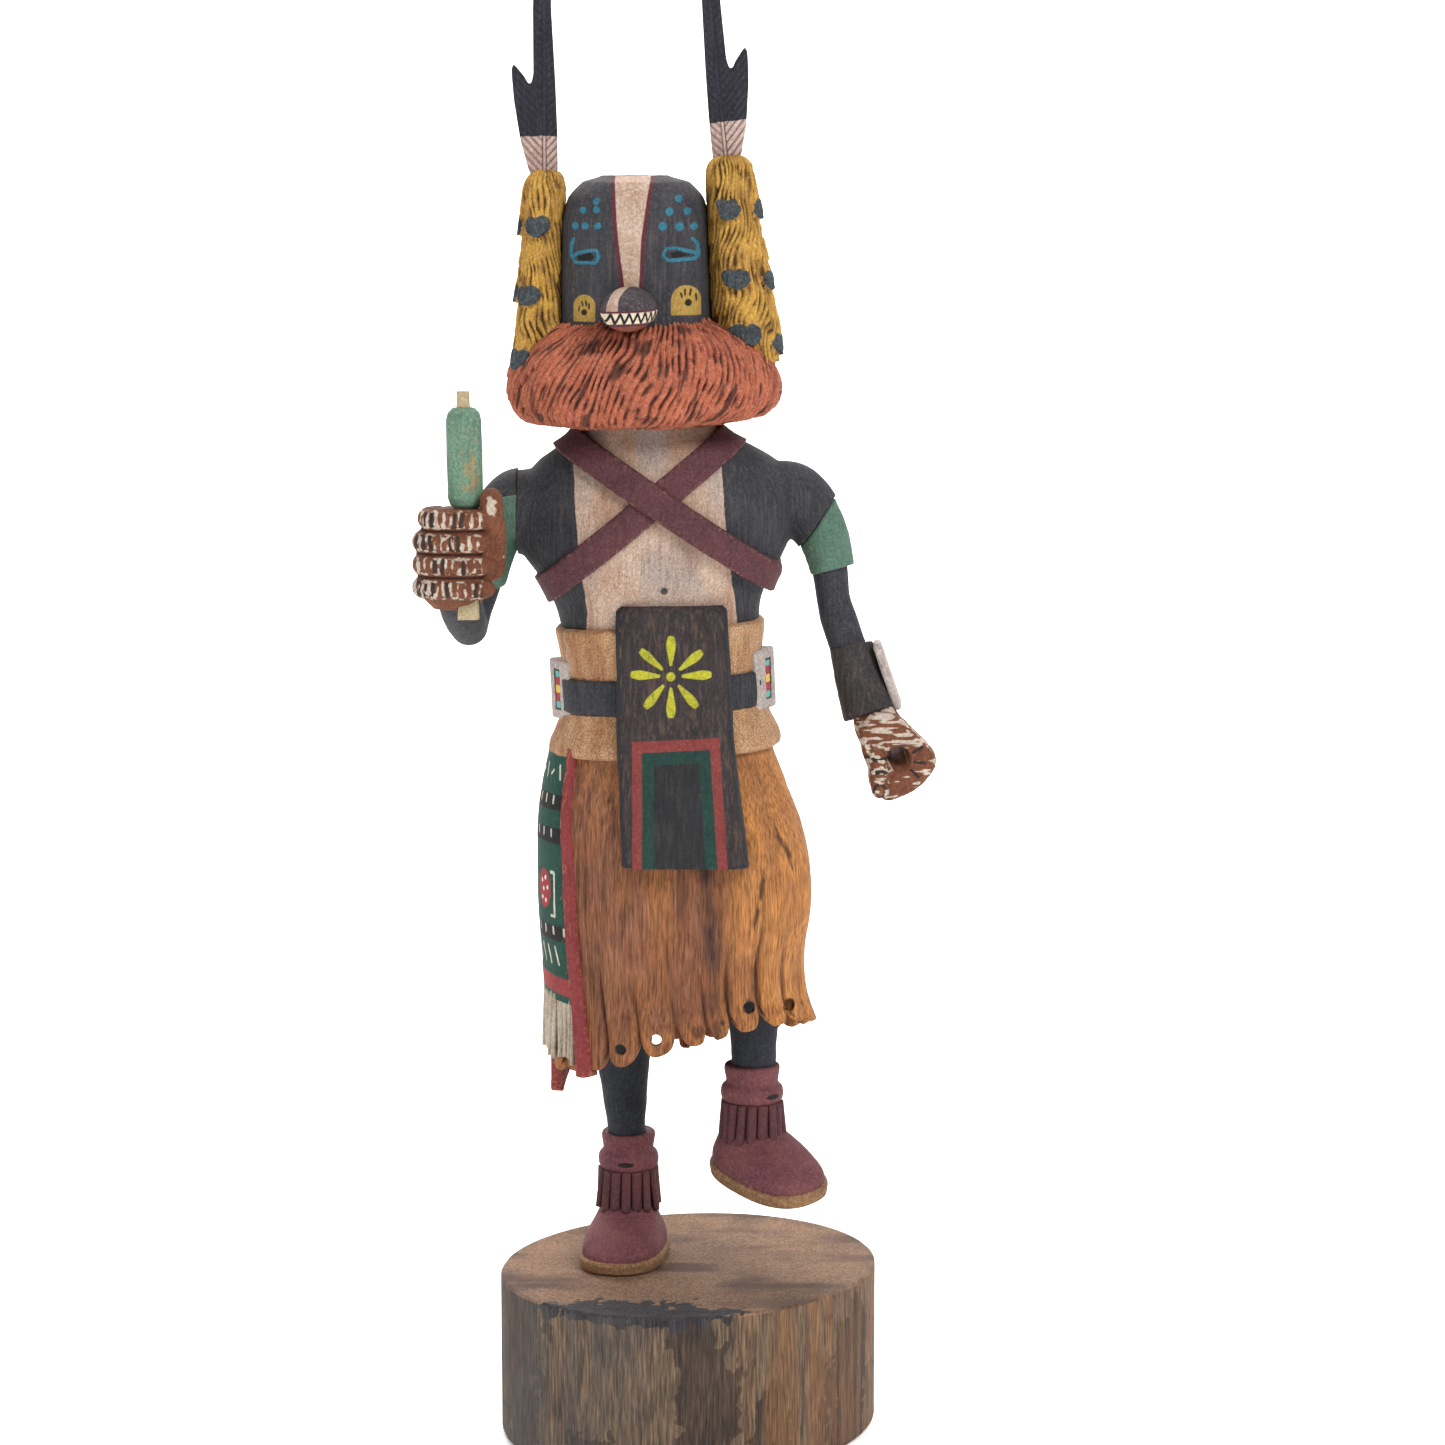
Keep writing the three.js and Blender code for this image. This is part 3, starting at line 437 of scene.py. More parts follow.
def combTree():
    # combed strands cut into a skin; across and along are the skin's own mm
    tree, given, made = newTree("comb strands", "Pitch", "Tip spacing", "Depth", "Slant", "Warp")
    add, values = partial(addNode, tree), given.outputs
    across, along, fade = (add("GeometryNodeInputNamedAttribute", inputs={"Name": name}, data_type="FLOAT")
                           for name in ("across", "along", "fade"))
    wander = add("ShaderNodeTexNoise", inputs={"Scale": 70.0, "Detail": 1.0})
    warped = add("ShaderNodeMath", wander, values["Warp"], across, operation="MULTIPLY_ADD")
    slanted = add("ShaderNodeMath", along, values["Slant"], warped, operation="MULTIPLY_ADD")
    count = add("ShaderNodeMath", slanted, values["Pitch"], operation="DIVIDE")
    strand = add("ShaderNodeMath", count, operation="FLOOR")
    place = add("ShaderNodeMath", count, operation="FRACT")
    ridge = add("ShaderNodeMath", place, 0.5, operation="PINGPONG")
    ridge = add("ShaderNodeMapRange", inputs={"Value": ridge, "From Min": 0.0, "From Max": 0.36},
                interpolation_type="SMOOTHSTEP")
    whole = add("FunctionNodeFloatToInt", strand, rounding_mode="FLOOR")
    chance = add("FunctionNodeRandomValue", inputs={"ID": whole, "Seed": values["Seed"]}, data_type="FLOAT")
    tip = add("ShaderNodeMath", along, values["Tip spacing"], operation="DIVIDE")
    tip = add("ShaderNodeMath", tip, chance.outputs[1], operation="ADD")
    tip = add("ShaderNodeMath", tip, operation="FRACT")
    step = add("ShaderNodeMapRange",
               inputs={"Value": tip, "From Min": 0.0, "From Max": 0.92, "To Min": 0.35, "To Max": 1.0})
    notch = add("ShaderNodeMapRange",
                inputs={"Value": tip, "From Min": 0.92, "From Max": 1.0, "To Min": 1.0, "To Max": 0.35})
    step = add("ShaderNodeMath", step, notch, operation="MINIMUM")
    height = add("ShaderNodeMath", ridge, step, operation="MULTIPLY")
    breaks = add("ShaderNodeTexNoise", inputs={"Scale": 160.0, "Detail": 2.0})
    breaks = add("ShaderNodeMapRange",
                 inputs={"Value": breaks, "From Min": 0.38, "From Max": 0.6, "To Min": 0.3, "To Max": 1.0})
    sunk = add("ShaderNodeMath", height, 1.0, operation="SUBTRACT")
    sunk = add("ShaderNodeMath", sunk, breaks, operation="MULTIPLY")
    sunk = add("ShaderNodeMath", sunk, fade, operation="MULTIPLY")
    inMetres = add("ShaderNodeMath", sunk, values["Depth"], operation="MULTIPLY")
    inMetres = add("ShaderNodeMath", inMetres, 0.001, operation="MULTIPLY")
    way = add("ShaderNodeVectorMath", inputs={0: add("GeometryNodeInputNormal"), "Scale": inMetres},
              operation="SCALE")
    lower = add("ShaderNodeMath", sunk, -1.0, operation="MULTIPLY")
    held = add("GeometryNodeStoreNamedAttribute", inputs={"Geometry": given, "Name": "groove", "Value": lower},
               data_type="FLOAT")
    moved = add("GeometryNodeSetPosition", inputs={"Geometry": held, "Offset": way})
    real = add("GeometryNodeRealizeInstances", moved)
    painted = add("GeometryNodeSetMaterial", inputs={"Geometry": real, "Material": values["Material"]})
    tree.links.new(painted.outputs[0], made.inputs[0])
    return tree


def stripTree():
    # strips that hang from a path, each a little different
    tree, given, made = newTree("hang strips", "Count", "Length", "Width", "Thickness", "Flare")
    add, values = partial(addNode, tree), given.outputs
    size = add("ShaderNodeCombineXYZ", inputs={"X": values["Width"], "Y": values["Thickness"], "Z": values["Length"]})
    strip = add("GeometryNodeMeshCube", inputs={"Size": size, "Vertices X": 4, "Vertices Y": 3, "Vertices Z": 12})
    where = add("GeometryNodeInputPosition")
    parts = add("ShaderNodeSeparateXYZ", where)
    halfWidth = add("ShaderNodeMath", parts.outputs["X"], values["Width"], operation="DIVIDE")
    square = add("ShaderNodeMath", halfWidth, halfWidth, operation="MULTIPLY")
    keep = add("ShaderNodeMath", square, -2.6, 1.0, operation="MULTIPLY_ADD")
    rounded = add("ShaderNodeMath", parts.outputs["Y"], keep, operation="MULTIPLY")
    drop = add("ShaderNodeMath", values["Length"], -0.5, parts.outputs["Z"], operation="MULTIPLY_ADD")
    shaped = add("ShaderNodeCombineXYZ", inputs={"X": parts.outputs["X"], "Y": rounded, "Z": drop})
    strip = add("GeometryNodeSetPosition", inputs={"Geometry": strip, "Position": shaped})
    path = add("GeometryNodeMeshToCurve", inputs={"Mesh": given})
    path = add("GeometryNodeResampleCurve", inputs={"Curve": path, "Count": values["Count"]})
    tangent = add("GeometryNodeInputTangent")
    facing = add("FunctionNodeAxesToRotation", inputs={"Primary Axis": (0, 0, 1), "Secondary Axis": tangent},
                 primary_axis="Z", secondary_axis="X")
    sway, grow = (add("FunctionNodeRandomValue", inputs={"Min": low, "Max": high, "Seed": values["Seed"]},
                      data_type="FLOAT_VECTOR")
                  for low, high in (((-0.05, -0.05, -0.08), (0.05, 0.05, 0.08)),
                                    ((0.85, 0.85, 0.9), (1.1, 1.15, 1.04))))
    lean = add("ShaderNodeCombineXYZ", inputs={"X": values["Flare"]})
    tilt = add("ShaderNodeVectorMath", sway, lean, operation="ADD")
    tilt = add("FunctionNodeEulerToRotation", tilt)
    facing = add("FunctionNodeRotateRotation", inputs={"Rotation": facing, "Rotate By": tilt}, rotation_space="LOCAL")
    strips = add("GeometryNodeInstanceOnPoints",
                 inputs={"Points": path, "Instance": strip, "Rotation": facing, "Scale": grow})
    real = add("GeometryNodeRealizeInstances", strips)
    painted = add("GeometryNodeSetMaterial", inputs={"Geometry": real, "Material": values["Material"]})
    tree.links.new(painted.outputs[0], made.inputs[0])
    return tree


comb, hang = combTree(), stripTree()


# The log

logSlice = {
    "diameter": 103.5, "rearward": 2.4, "grainDepth": 0.35,
    # dark stains on the bark side as x, z, half width, half height
    "stains": ((2, 40, 7, 7), (7, 30, 7, 8), (4, 19, 8, 8), (1, 8, 8, 8), (-46, 24, 7, 40), (-26, 4, 10, 9),
               (22, 12, 5, 14), (44, 20, 6, 22)),
}


def makeLog():
    count = 420
    angle = np.arange(count) / count * 2 * math.pi
    radius = logSlice["diameter"] / 2 * (1 + 0.055 * np.cos(2 * (angle - turn(40))))
    # rings as height and share of the radius: underside, rounded foot, side, rounded rim, top
    rings = [(0.0, share) for share in np.linspace(0.02, 1, 16)[:-1]]
    rings += [(z, 1 - inset / 52) for z, inset in ((0.0, 2.2), (0.4, 1.0), (1.2, 0.3))]
    rings += [(z, 1.0) for z in np.linspace(2.2, 45.0, 70)]
    rings += [(z, 1 - inset / 52) for z, inset in ((45.5, 0.15), (45.85, 0.45), (logHeight, 0.8))]
    rings += [(logHeight, share) for share in np.linspace(1, 0.01, 60)[1:]]
    grid = []
    for z, share in rings:
        x, y = radius * share * np.cos(angle), radius * share * np.sin(angle) + logSlice["rearward"]
        p = np.stack([x, y, np.full(count, z)], -1)
        if 0 < z < logHeight:
            ribs = noiseAt(p * [1, 1, 0.03], 1.1, 1) * 0.6 + noiseAt(p * [1, 1, 0.06], 4, 2) * 0.5
            inward = logSlice["grainDepth"] * (ribs - 1) * 0.5
            p[:, 0] += inward * np.cos(angle)
            p[:, 1] += inward * np.sin(angle)
        elif z == logHeight:
            saw = 0.1 * noiseAt(p * [0.05, 1, 1], 1.2, 3) + 0.12 * noiseAt(p, 9, 4)
            p[:, 2] += np.minimum(saw - 0.2, 0) * min(1, (1 - share) * 12)
        grid.append(p)
    piece = gridSolid("log_slice", np.array(grid), lift=0)
    p = spots(piece) + [0, 0, logHeight]
    x, y, z = p.T
    top = z > 45.3
    rim = np.hypot(x, y - logSlice["rearward"])
    ragged = noiseAt(p * [1, 1, 0.35], 3.2, 5) + 0.6 * noiseAt(p, 1.2, 6)
    scorch = np.where(top, oval(x, y, -17, -45, 27, 12), oval(x, z, -17, logHeight, 26, 3.4)) * 4 + 2.2 * ragged
    lumps = np.min([oval(x, z, a, b, w, h) for a, b, w, h in logSlice["stains"]], axis=0)
    stain = np.where(y < 4, lumps * 6 + 3.4 * ragged, 3 * noiseAt(p * [1, 1, 0.25], 11, 6) + 1 + ragged)
    damp = np.where(top, 1.8 * noiseAt(p * [0.5, 1, 1], 9, 7) + 0.5 * noiseAt(p * [0.4, 1, 1], 3, 8), 0)
    # painted light: the sides lighter and warmer towards the right, in streaks along the grain
    gold = np.where(top, 0, unit((x - 10) / 14) * (0.5 + 1.4 * noiseAt(p * [1, 1, 0.06], 2.2, 9)))
    # on the top greyer towards the rim; on the sides painted shade, darker and greyer towards the left
    grey = np.where(top, unit((rim - 46) / 5) * 0.6 + 0.8 * ragged - 0.4,
                    unit((-8 - x) / 20) * (0.5 + noiseAt(p * [1, 1, 0.1], 4, 10)))
    mark(piece, scorch=scorch, stain=np.where(top, 9, stain), top=np.where(top, -1.0, 1.0), damp=unit(damp),
         gold=unit(gold), grey=unit(grey))
    return piece


# Sawn log: grey-brown weathered sides with long grain, and a warmer, duller sawn top; the sides carry painted light
# on the right and painted shade on the left
logWood = paintedWood("weathered_log_wood", {
    "coat": ("#5d4d3f", "#4d4139", "#2b221e", 0.9, "#7f6850", 0.6),
    "layers": {
        "stain": ("#43362e", "#342b27", "#221d1b", 0.7, "#5c4a3c", 0.45),
        "top": ("#80614b", "#6d5342", "#5c4333", 0.5, "#9c7d63", 0.5),
        "scorch": ("#312e31", "#272527", "#19181b", 0.6, "#4a474d", 0.45),
    },
    "washes": {"damp": ("#4a342c", 0.8), "gold": ("#80593a", 0.5), "grey": ("#4a4644", 0.6)},
    "grainSize": (0.42, 11), "shadeSize": 12, "speckSize": 0.7, "speckStretch": 14.0, "wobble": 2.2, "bump": 1.0,
    "grainDepth": 2.0, "mottle": 0.5,
})
dress(makeLog(), logWood, "log_wood", "log_base")
print("log made")


# Torso, straps and belt

torsoRows = [
    [168, -6.6, 1, 26.8, 20, 2.3], [180, -7.6, 1, 27, 19.5, 2.3], [187.5, -8.4, 1, 28.2, 20, 2.3],
    [193.8, -9, 1, 31, 20.8, 2.3], [199, -9.5, 1, 34.6, 21.4, 2.4], [205, -9.5, 1, 37.4, 21.6, 2.4],
    [213, -9, 1, 38, 21, 2.4], [220, -8.6, 1, 36.4, 19.6, 2.3], [226, -8.2, 1, 32, 18, 2.2],
    [229.5, -8.8, 1, 26.6, 17, 2.1], [233, -9.6, 1, 20.4, 15.5, 2], [238, -10.6, 1, 16, 14, 2],
    [246, -11.2, 1, 14, 13, 2],
]
yWide, zWide = (0, 1, 0), (0, 0, 1)


def loft(rows, step=0.8, count=200, proud=0.0, frontWeight=1.0):
    low, high = sorted((rows[0][0], rows[-1][0]))
    z = np.linspace(low, high, max(int((high - low) / step), 3))
    return onSkin(rows, evenAngles(rows, count, frontWeight)[None, :], z[:, None], proud)


# shoulder joints: a plane across the raised arm, and a leaning one across the lowered arm
joint = {"raisedX": -46.3, "lowered": (34.8, 1, 208.8), "lean": 35, "gap": 0.3, "block": (60, 60, 40),
         "leaningBlock": (60, 60, 30)}


def besideJoint(far):
    lean = turn(joint["lean"])
    return np.array(joint["lowered"]) + far * np.array([math.cos(lean), 0, -math.sin(lean)])


def makeTorso():
    raised = limb([[-36, 1, 212, 10.6], [-42, 1, 211.6, 11.6], [-47, 1, 211.6, 11.4]], wide=yWide)
    lowered = limb([[22, 1, 216.6, 9], [28.5, 1, 215.8, 9.2], [33.4, 0.8, 211, 8.6], [37, 0.5, 205, 7.4]], wide=yWide)
    piece = carve("torso", loft(torsoRows), raised, lowered, voxel=0.7, smooth=5)
    cut(piece, box("beyond_raised", joint["block"], (joint["raisedX"] + 0.08 - 30, 1, 211.5)))
    cut(piece, box("beyond_lowered", joint["leaningBlock"], besideJoint(30), lean=turn(joint["lean"])))
    p = spots(piece)
    px, py, pz = p.T
    navel = np.hypot(px + 6.2, pz - 192.2)
    front = py < -4
    push(piece, np.where(front & (navel < 1.3), -0.9 * (1 - (navel / 1.3) ** 2), 0) + 0.12 * noiseAt(p, 5, 8))
    left = np.interp(pz, [172, 186, 200, 215, 232, 240], [-27.6, -27, -29, -30, -31, -22])
    right = np.interp(pz, [172, 186, 200, 215, 232, 240], [14, 13, 11.4, 9.8, 8.6, 6])
    belly = np.where(py < 2, within(px, left, right), 9)
    inBelly = unit(-belly)
    grey = unit(noiseAt(p * [1, 1, 0.5], 9, 10) * 1.6 + np.clip((pz - 218) / 22, -0.4, 0.5)) * inBelly
    brown = unit(noiseAt(p * [1, 1, 0.4], 6, 12) * 1.5 + np.clip(0.6 - np.abs(belly) / 4, 0, 0.6)) * inBelly
    mark(piece, belly=belly, navel=np.where(front, navel - 0.95, 9), grey=grey, brown=brown)
    return piece


blackCoat = ("#2e3037", "#23262d", "#504438", 0.28, "#514a45", 0.22)
edgeWear = ("#6b5138", 0.62, 0.45)
creamCoat = ("#ab9381", "#9f806c", "#87664b", 0.4, "#bbaaa0", 0.55)
# Carved root wood under matt black and a stippled cream belly
torsoPaint = paintedWood("matt_black_and_cream_paint", {
    "coat": blackCoat, "layers": {"belly": creamCoat, "navel": "#241d1a"}, "wobble": 1.2, "speckSize": 0.38,
    "speckStretch": 2.0, "mottleSize": 0.35, "washes": {"grey": ("#7d7878", 0.6), "brown": ("#8a6750", 0.65)},
    "mottle": 0.4, "wear": edgeWear,
})
dress(makeTorso(), torsoPaint, *onDancer)

strap = {"width": 7.9, "frontRelief": 2.88, "underRelief": 1.8, "reach": (68.5, 80, 60)}


def makeStrap(name, start, end, relief, seed):
    (x1, z1), (x2, z2) = start, end
    piece = gridSolid(name, loft(torsoRows, 1.0, 160, proud=relief))
    lean = -math.atan2(z2 - z1, x2 - x1)
    cut(piece, box("slab", (140, 80, strap["width"]), ((x1 + x2) / 2, 0, (z1 + z2) / 2), lean=lean), "INTERSECT")
    cut(piece, box("room", strap["reach"], (-8.7, 0, 216)), "INTERSECT")
    blend(piece, 0.45, 4)
    roughen(piece, (0.1, 4, seed), (0.05, 1.5, seed + 1))
    return piece


# Leather straps cut in the wood and painted a dull maroon
strapPaint = paintedWood("matt_maroon_paint", {
    "coat": ("#532e34", "#46282e", "#372126", 0.35, "#604342", 0.3), "wear": ("#8a5f50", 0.615, 0.5),
    "mottle": 0.42,
})
for name, start, end, relief, seed in (
    ("strap_front", (-33.4, 232.8), (23.9, 194.5), strap["frontRelief"], 3),
    ("strap_under", (11.7, 232.6), (-39.8, 190.6), strap["underRelief"], 5),
):
    dress(makeStrap(name, start, end, relief, seed), strapPaint, *onDancer)

belt = {"lean": -2.4, "middle": (-6.9, 164.0)}
plate = {"size": (5.4, 13, 16.6), "stoneHalfWidth": 1.9, "stripHalfHeight": 5.6, "stonePitch": 2.25,
         "stripAside": 1.5, "sunk": 0.25}


def tilted(grid):
    c, n = math.cos(turn(belt["lean"])), math.sin(turn(belt["lean"]))
    x, z = grid[..., 0] - belt["middle"][0], grid[..., 2] - belt["middle"][1]
    return np.stack([c * x + n * z + belt["middle"][0], grid[..., 1], c * z - n * x + belt["middle"][1]], -1)


upperCloth = [
    [167.6, -6.9, 0.5, 26.8, 20.2, 2.4], [169.4, -6.9, 0.5, 27.2, 20.5, 2.4], [175, -6.9, 0.5, 27.8, 21, 2.4],
    [180, -6.9, 0.5, 28.6, 21.6, 2.4], [181.4, -6.9, 0.5, 28.5, 21.5, 2.4], [182, -6.9, 0.5, 27.4, 20.6, 2.4],
]
beltRows = [
    [158.6, -6.9, 0.5, 27.6, 20.9, 2.4], [159.2, -6.9, 0.5, 28.1, 21.4, 2.4], [167.8, -6.9, 0.5, 28.1, 21.4, 2.4],
    [168.4, -6.9, 0.5, 27.6, 20.9, 2.4],
]
lowerCloth = [
    [147, -7, 0.5, 30.4, 23.4, 2.4], [147.6, -7, 0.5, 31.6, 24.5, 2.4], [149.4, -7, 0.5, 31.9, 24.8, 2.4],
    [153, -6.9, 0.5, 30.4, 23.4, 2.4], [158.8, -6.9, 0.5, 27.9, 21, 2.4],
]
# Cotton cloth in carved wood: tan stipple over cream, with painted shade on its left side
clothPaint = paintedWood("stippled_tan_paint", {
    "coat": ("#a17a54", "#936640", "#6f442a", 0.45, "#b6a088", 0.75), "wear": ("#825f42", 0.64, 0.45),
    "speckSize": 0.38, "patch": ("#9f7650", 0.5), "patchSize": 7, "washes": {"brown": ("#7c4c2e", 0.6)},
    "mottle": 0.55, "mottleSize": 0.35,
})
# Dyed leather belt in carved wood
beltPaint = paintedWood("matt_black_paint", {"coat": blackCoat, "wear": edgeWear})
for name, rows, material, seed in (
    ("waist_cloth_upper", upperCloth, clothPaint, 21), ("belt", beltRows, beltPaint, 22),
    ("waist_cloth_lower", lowerCloth, clothPaint, 23),
):
    piece = gridSolid(name, tilted(loft(rows, 0.35, 260)))
    p = spots(piece)
    push(piece, 0.12 * noiseAt(p, 3, seed) + 0.14 * noiseAt(p * [1, 1, 0.2], 3.5, seed + 1) - 0.1)
    streaks = 0.6 + 0.8 * noiseAt(p * [1, 1, 0.15], 2.2, seed + 2)
    # partly painted shade, browner and darker towards the left side in streaks, and partly random brown patches
    brown = unit((-12 - p[:, 0]) / 12) * streaks + 0.7 * noiseAt(p * [1, 1, 0.4], 4, seed + 3)
    mark(piece, brown=unit(brown))
    dress(piece, material, *onDancer)


def makePlate(name, side, middle, facing):
    piece = box(name, plate["size"], middle, yaw=facing, lean=turn(belt["lean"]))
    bevel = piece.modifiers.new("bevel", "BEVEL")
    bevel.width, bevel.segments = 0.0007, 3
    blend(piece, 0.3, 0)
    p = spots(piece)
    px, py, pz = p.T
    out = np.array([math.cos(facing), math.sin(facing)]) * side
    across = -(px - middle[0]) * out[1] + (py - middle[1]) * out[0]
    face = (px - middle[0]) * out[0] + (py - middle[1]) * out[1] > plate["size"][0] / 2 - 0.8
    up = pz - middle[2] + (px - middle[0]) * math.tan(turn(belt["lean"]))
    slotShape = np.maximum(np.abs(across - plate["stripAside"] * side) - plate["stoneHalfWidth"],
                           np.abs(up) - plate["stripHalfHeight"])
    push(piece, np.where(face & (slotShape < 0), -plate["sunk"], 0) + 0.06 * noiseAt(p, 1.6, 31))
    stone = np.where(face & (slotShape < -0.5), np.floor((up + plate["stripHalfHeight"]) / plate["stonePitch"]), -1)
    mark(piece, inlay=np.where(face, slotShape, 9),
         **{colour: np.where(np.isin(stone, places), -1, 1) for colour, places in
            {"red": (1, 3), "yellow": (2,), "blue": (0, 4)}.items()})
    return piece


# Silver plate in carved wood: grey-white stipple round a strip of painted stones
platePaint = paintedWood("stippled_grey_paint", {
    "coat": ("#9f958d", "#8b7e7b", "#706058", 0.3, "#bfb4af", 0.5), "wobble": 0.2,
    "layers": {"inlay": "#2a2627", "red": "#93353c", "yellow": "#c9a94a", "blue": "#5f9c97"},
})
for name, side, middle, facing in (
    ("hip_plate_left", -1, (-32.6, -3.5, 163.6), turn(26)),
    ("hip_plate_right", 1, (18.9, -3.5, 166.4), turn(-24)),
):
    dress(makePlate(name, side, middle, facing), platePaint, *onDancer)
print("torso, straps and belt made")


# Apron

apronRows = [
    [188.2, -4.3, -14, 13.8, 8, 4], [186.8, -4.3, -14, 15, 9, 5], [178, -4, -15.5, 15.3, 9.5, 5],
    [164, -3.5, -16.5, 15.6, 9.5, 5], [150, -3.1, -19, 16.1, 10, 5], [134, -1.8, -21.6, 16.5, 10, 5],
    [119, -0.6, -23.2, 17.3, 10, 5],
]
apronMarks = {"flower": (-4.4, 170.0), "petalFrom": 2.9, "petalTo": 10.8, "petalWidth": 2.7, "dot": 1.2,
              "petalTurns": (0, 4, -3, 5, 0, -4, 3, -6), "frameLeft": -14.8, "frameRight": 8.8, "frameTop": 153.4,
              "red": 2.7, "redTop": 3.0, "green": 5.8, "greenTop": 6.4}


def makeApron():
    piece = gridSolid("apron", loft(apronRows, 0.5, 300, frontWeight=3.0))
    p = spots(piece)
    px, py, pz = p.T
    push(piece, 0.14 * noiseAt(p * [1, 1, 0.25], 2.6, 41) + 0.15 * noiseAt(p, 8, 42) - 0.12)
    flat = p[:, [0, 2]]
    cx, cz = apronMarks["flower"]
    petals = np.full(len(p), 99.0)
    for k in range(8):
        way = turn(90 + 45 * k + apronMarks["petalTurns"][k])
        along = (flat - [cx, cz]) @ [math.cos(way), math.sin(way)]
        aside = np.abs((flat - [cx, cz]) @ [-math.sin(way), math.cos(way)])
        t = (along - apronMarks["petalFrom"]) / (apronMarks["petalTo"] - apronMarks["petalFrom"])
        width = apronMarks["petalWidth"] / 2 * np.clip(0.25 + 1.05 * t, 0.2, 1.0)
        petals = np.minimum(petals, np.maximum(aside - width * np.sqrt(unit(1 - unit(t * 1.6 - 0.75) ** 2)),
                                               within(along, apronMarks["petalFrom"], apronMarks["petalTo"])))
    petals = np.minimum(petals, discs(flat, [(cx, cz, apronMarks["dot"])]))
    left, right = apronMarks["frameLeft"], apronMarks["frameRight"] - (pz - 150) * 0.065
    top = apronMarks["frameTop"] + (px + 2) * 0.05
    red, green, black = (np.maximum(within(px, left + side, right - side), pz - top + down) for side, down in
                         ((0, 0), (apronMarks["red"], apronMarks["redTop"]),
                          (apronMarks["green"], apronMarks["greenTop"])))
    section = sectionAt(apronRows, pz)
    front = py < section[:, 2] - 6
    side = np.minimum(section[:, 3] - np.abs(px - section[:, 1]), np.minimum(189.5 - pz, pz - 119))
    edge = side - 1.3 - 0.5 * noiseAt(p, 3, 43)
    mark(piece, **{name: np.where(front, value, 9) for name, value in
                   {"petal": petals, "red": red, "green": green, "panel": black}.items()}, edge=edge)
    return piece


# Hide apron in carved wood: brown-black with the grain brushed through, and painted marks
apronPaint = paintedWood("brown_black_paint", {
    "coat": ("#312a2c", "#292426", "#594537", 0.5, "#413836", 0.3), "grainSize": (0.9, 16), "wobble": 0.45,
    "layers": {
        "edge": ("#242427", "#1e1e21", "#2c2a2a", 0.3, "#37353a", 0.3),
        "red": ("#763230", "#6c2d2e", "#582525", 0.4, "#81483d", 0.3),
        "green": ("#1a3630", "#162d2a", "#112321", 0.4, "#24443a", 0.3),
        "panel": ("#232426", "#1d1e21", "#37332e", 0.4, "#2d2c2c", 0.3),
        "petal": ("#a5a22a", "#908b27", "#5f6227", 0.7, "#b5b43b", 0.3),
    },
    "wear": ("#7a5a3c", 0.63, 0.4),
})
dress(makeApron(), apronPaint, *onDancer)
print("apron made")


# Skirt, sash and pelt

skirtRows = [
    [150, -6.9, 0, 29.4, 22.8, 2.2], [136, -5.7, 0, 33.2, 25.4, 2.2], [127, -4.4, 0, 35.6, 27, 2.2],
    [115, -3.1, 0, 37, 28.2, 2.2], [104, -2.9, 0, 37.1, 28.8, 2.2], [90, -3.5, 0, 35.6, 28.6, 2.2],
    [80, -2.8, 0, 35.6, 29, 2.2], [70, -1.1, 0, 37.2, 30.4, 2.2], [56, 0.2, 0, 38.4, 31.4, 2.2],
]
skirt = {
    "top": 150.0, "notch": 7.5, "wall": 2.8, "hollow": 26.0, "hole": 3.1,
    "holes": ((-18.2, 68.5), (-8.6, 71.5), (16.6, 79.5), (27.6, 78)),
    "tabs": [229.1, 244.7, 261.5, 275.4, 284.8, 298.3, 316.9, 336.5],  # middles of the front tabs, degrees
    "backTabs": 16,
    "knots": [[(24.4, 125.6), (25.4, 123.4)], [(26.4, 122.4), (27.6, 119.6)], [(20.6, 114.5), (19.8, 109.5)],
              [(19, 106), (18.2, 102.5)]],
    "roundKnots": [(2.8, 73.4, 1.5), (9.4, 75.8, 0.7)],
    "cracks": [[(20.6, 117), (19.4, 110), (18, 101)], [(-21.5, 136), (-17.5, 135.6)], [(23.6, 128.5), (28.4, 116)]],
}


def meanHem(angle):
    # the hem swings up to the front right, and dips a little at the front left
    swing = angle + turn(42)
    dip = np.exp(-((np.degrees(angle) % 360 - 240) / 26) ** 2)
    return 64.2 + 8.2 * np.cos(swing) + 1.6 * np.cos(2 * swing) - 1.2 * dip


def fromTab(angle):
    # 0 in a tab's middle, 1 at its notch
    first, last, steps = skirt["tabs"][0], skirt["tabs"][-1], skirt["backTabs"] + 1
    known = skirt["tabs"] + [last + (first + 360 - last) * k / steps for k in range(1, steps + 1)]
    phase = np.interp((np.degrees(angle) - first) % 360 + first, known, np.arange(len(known)))
    return np.abs(2 * ((phase + 0.5) % 1) - 1)


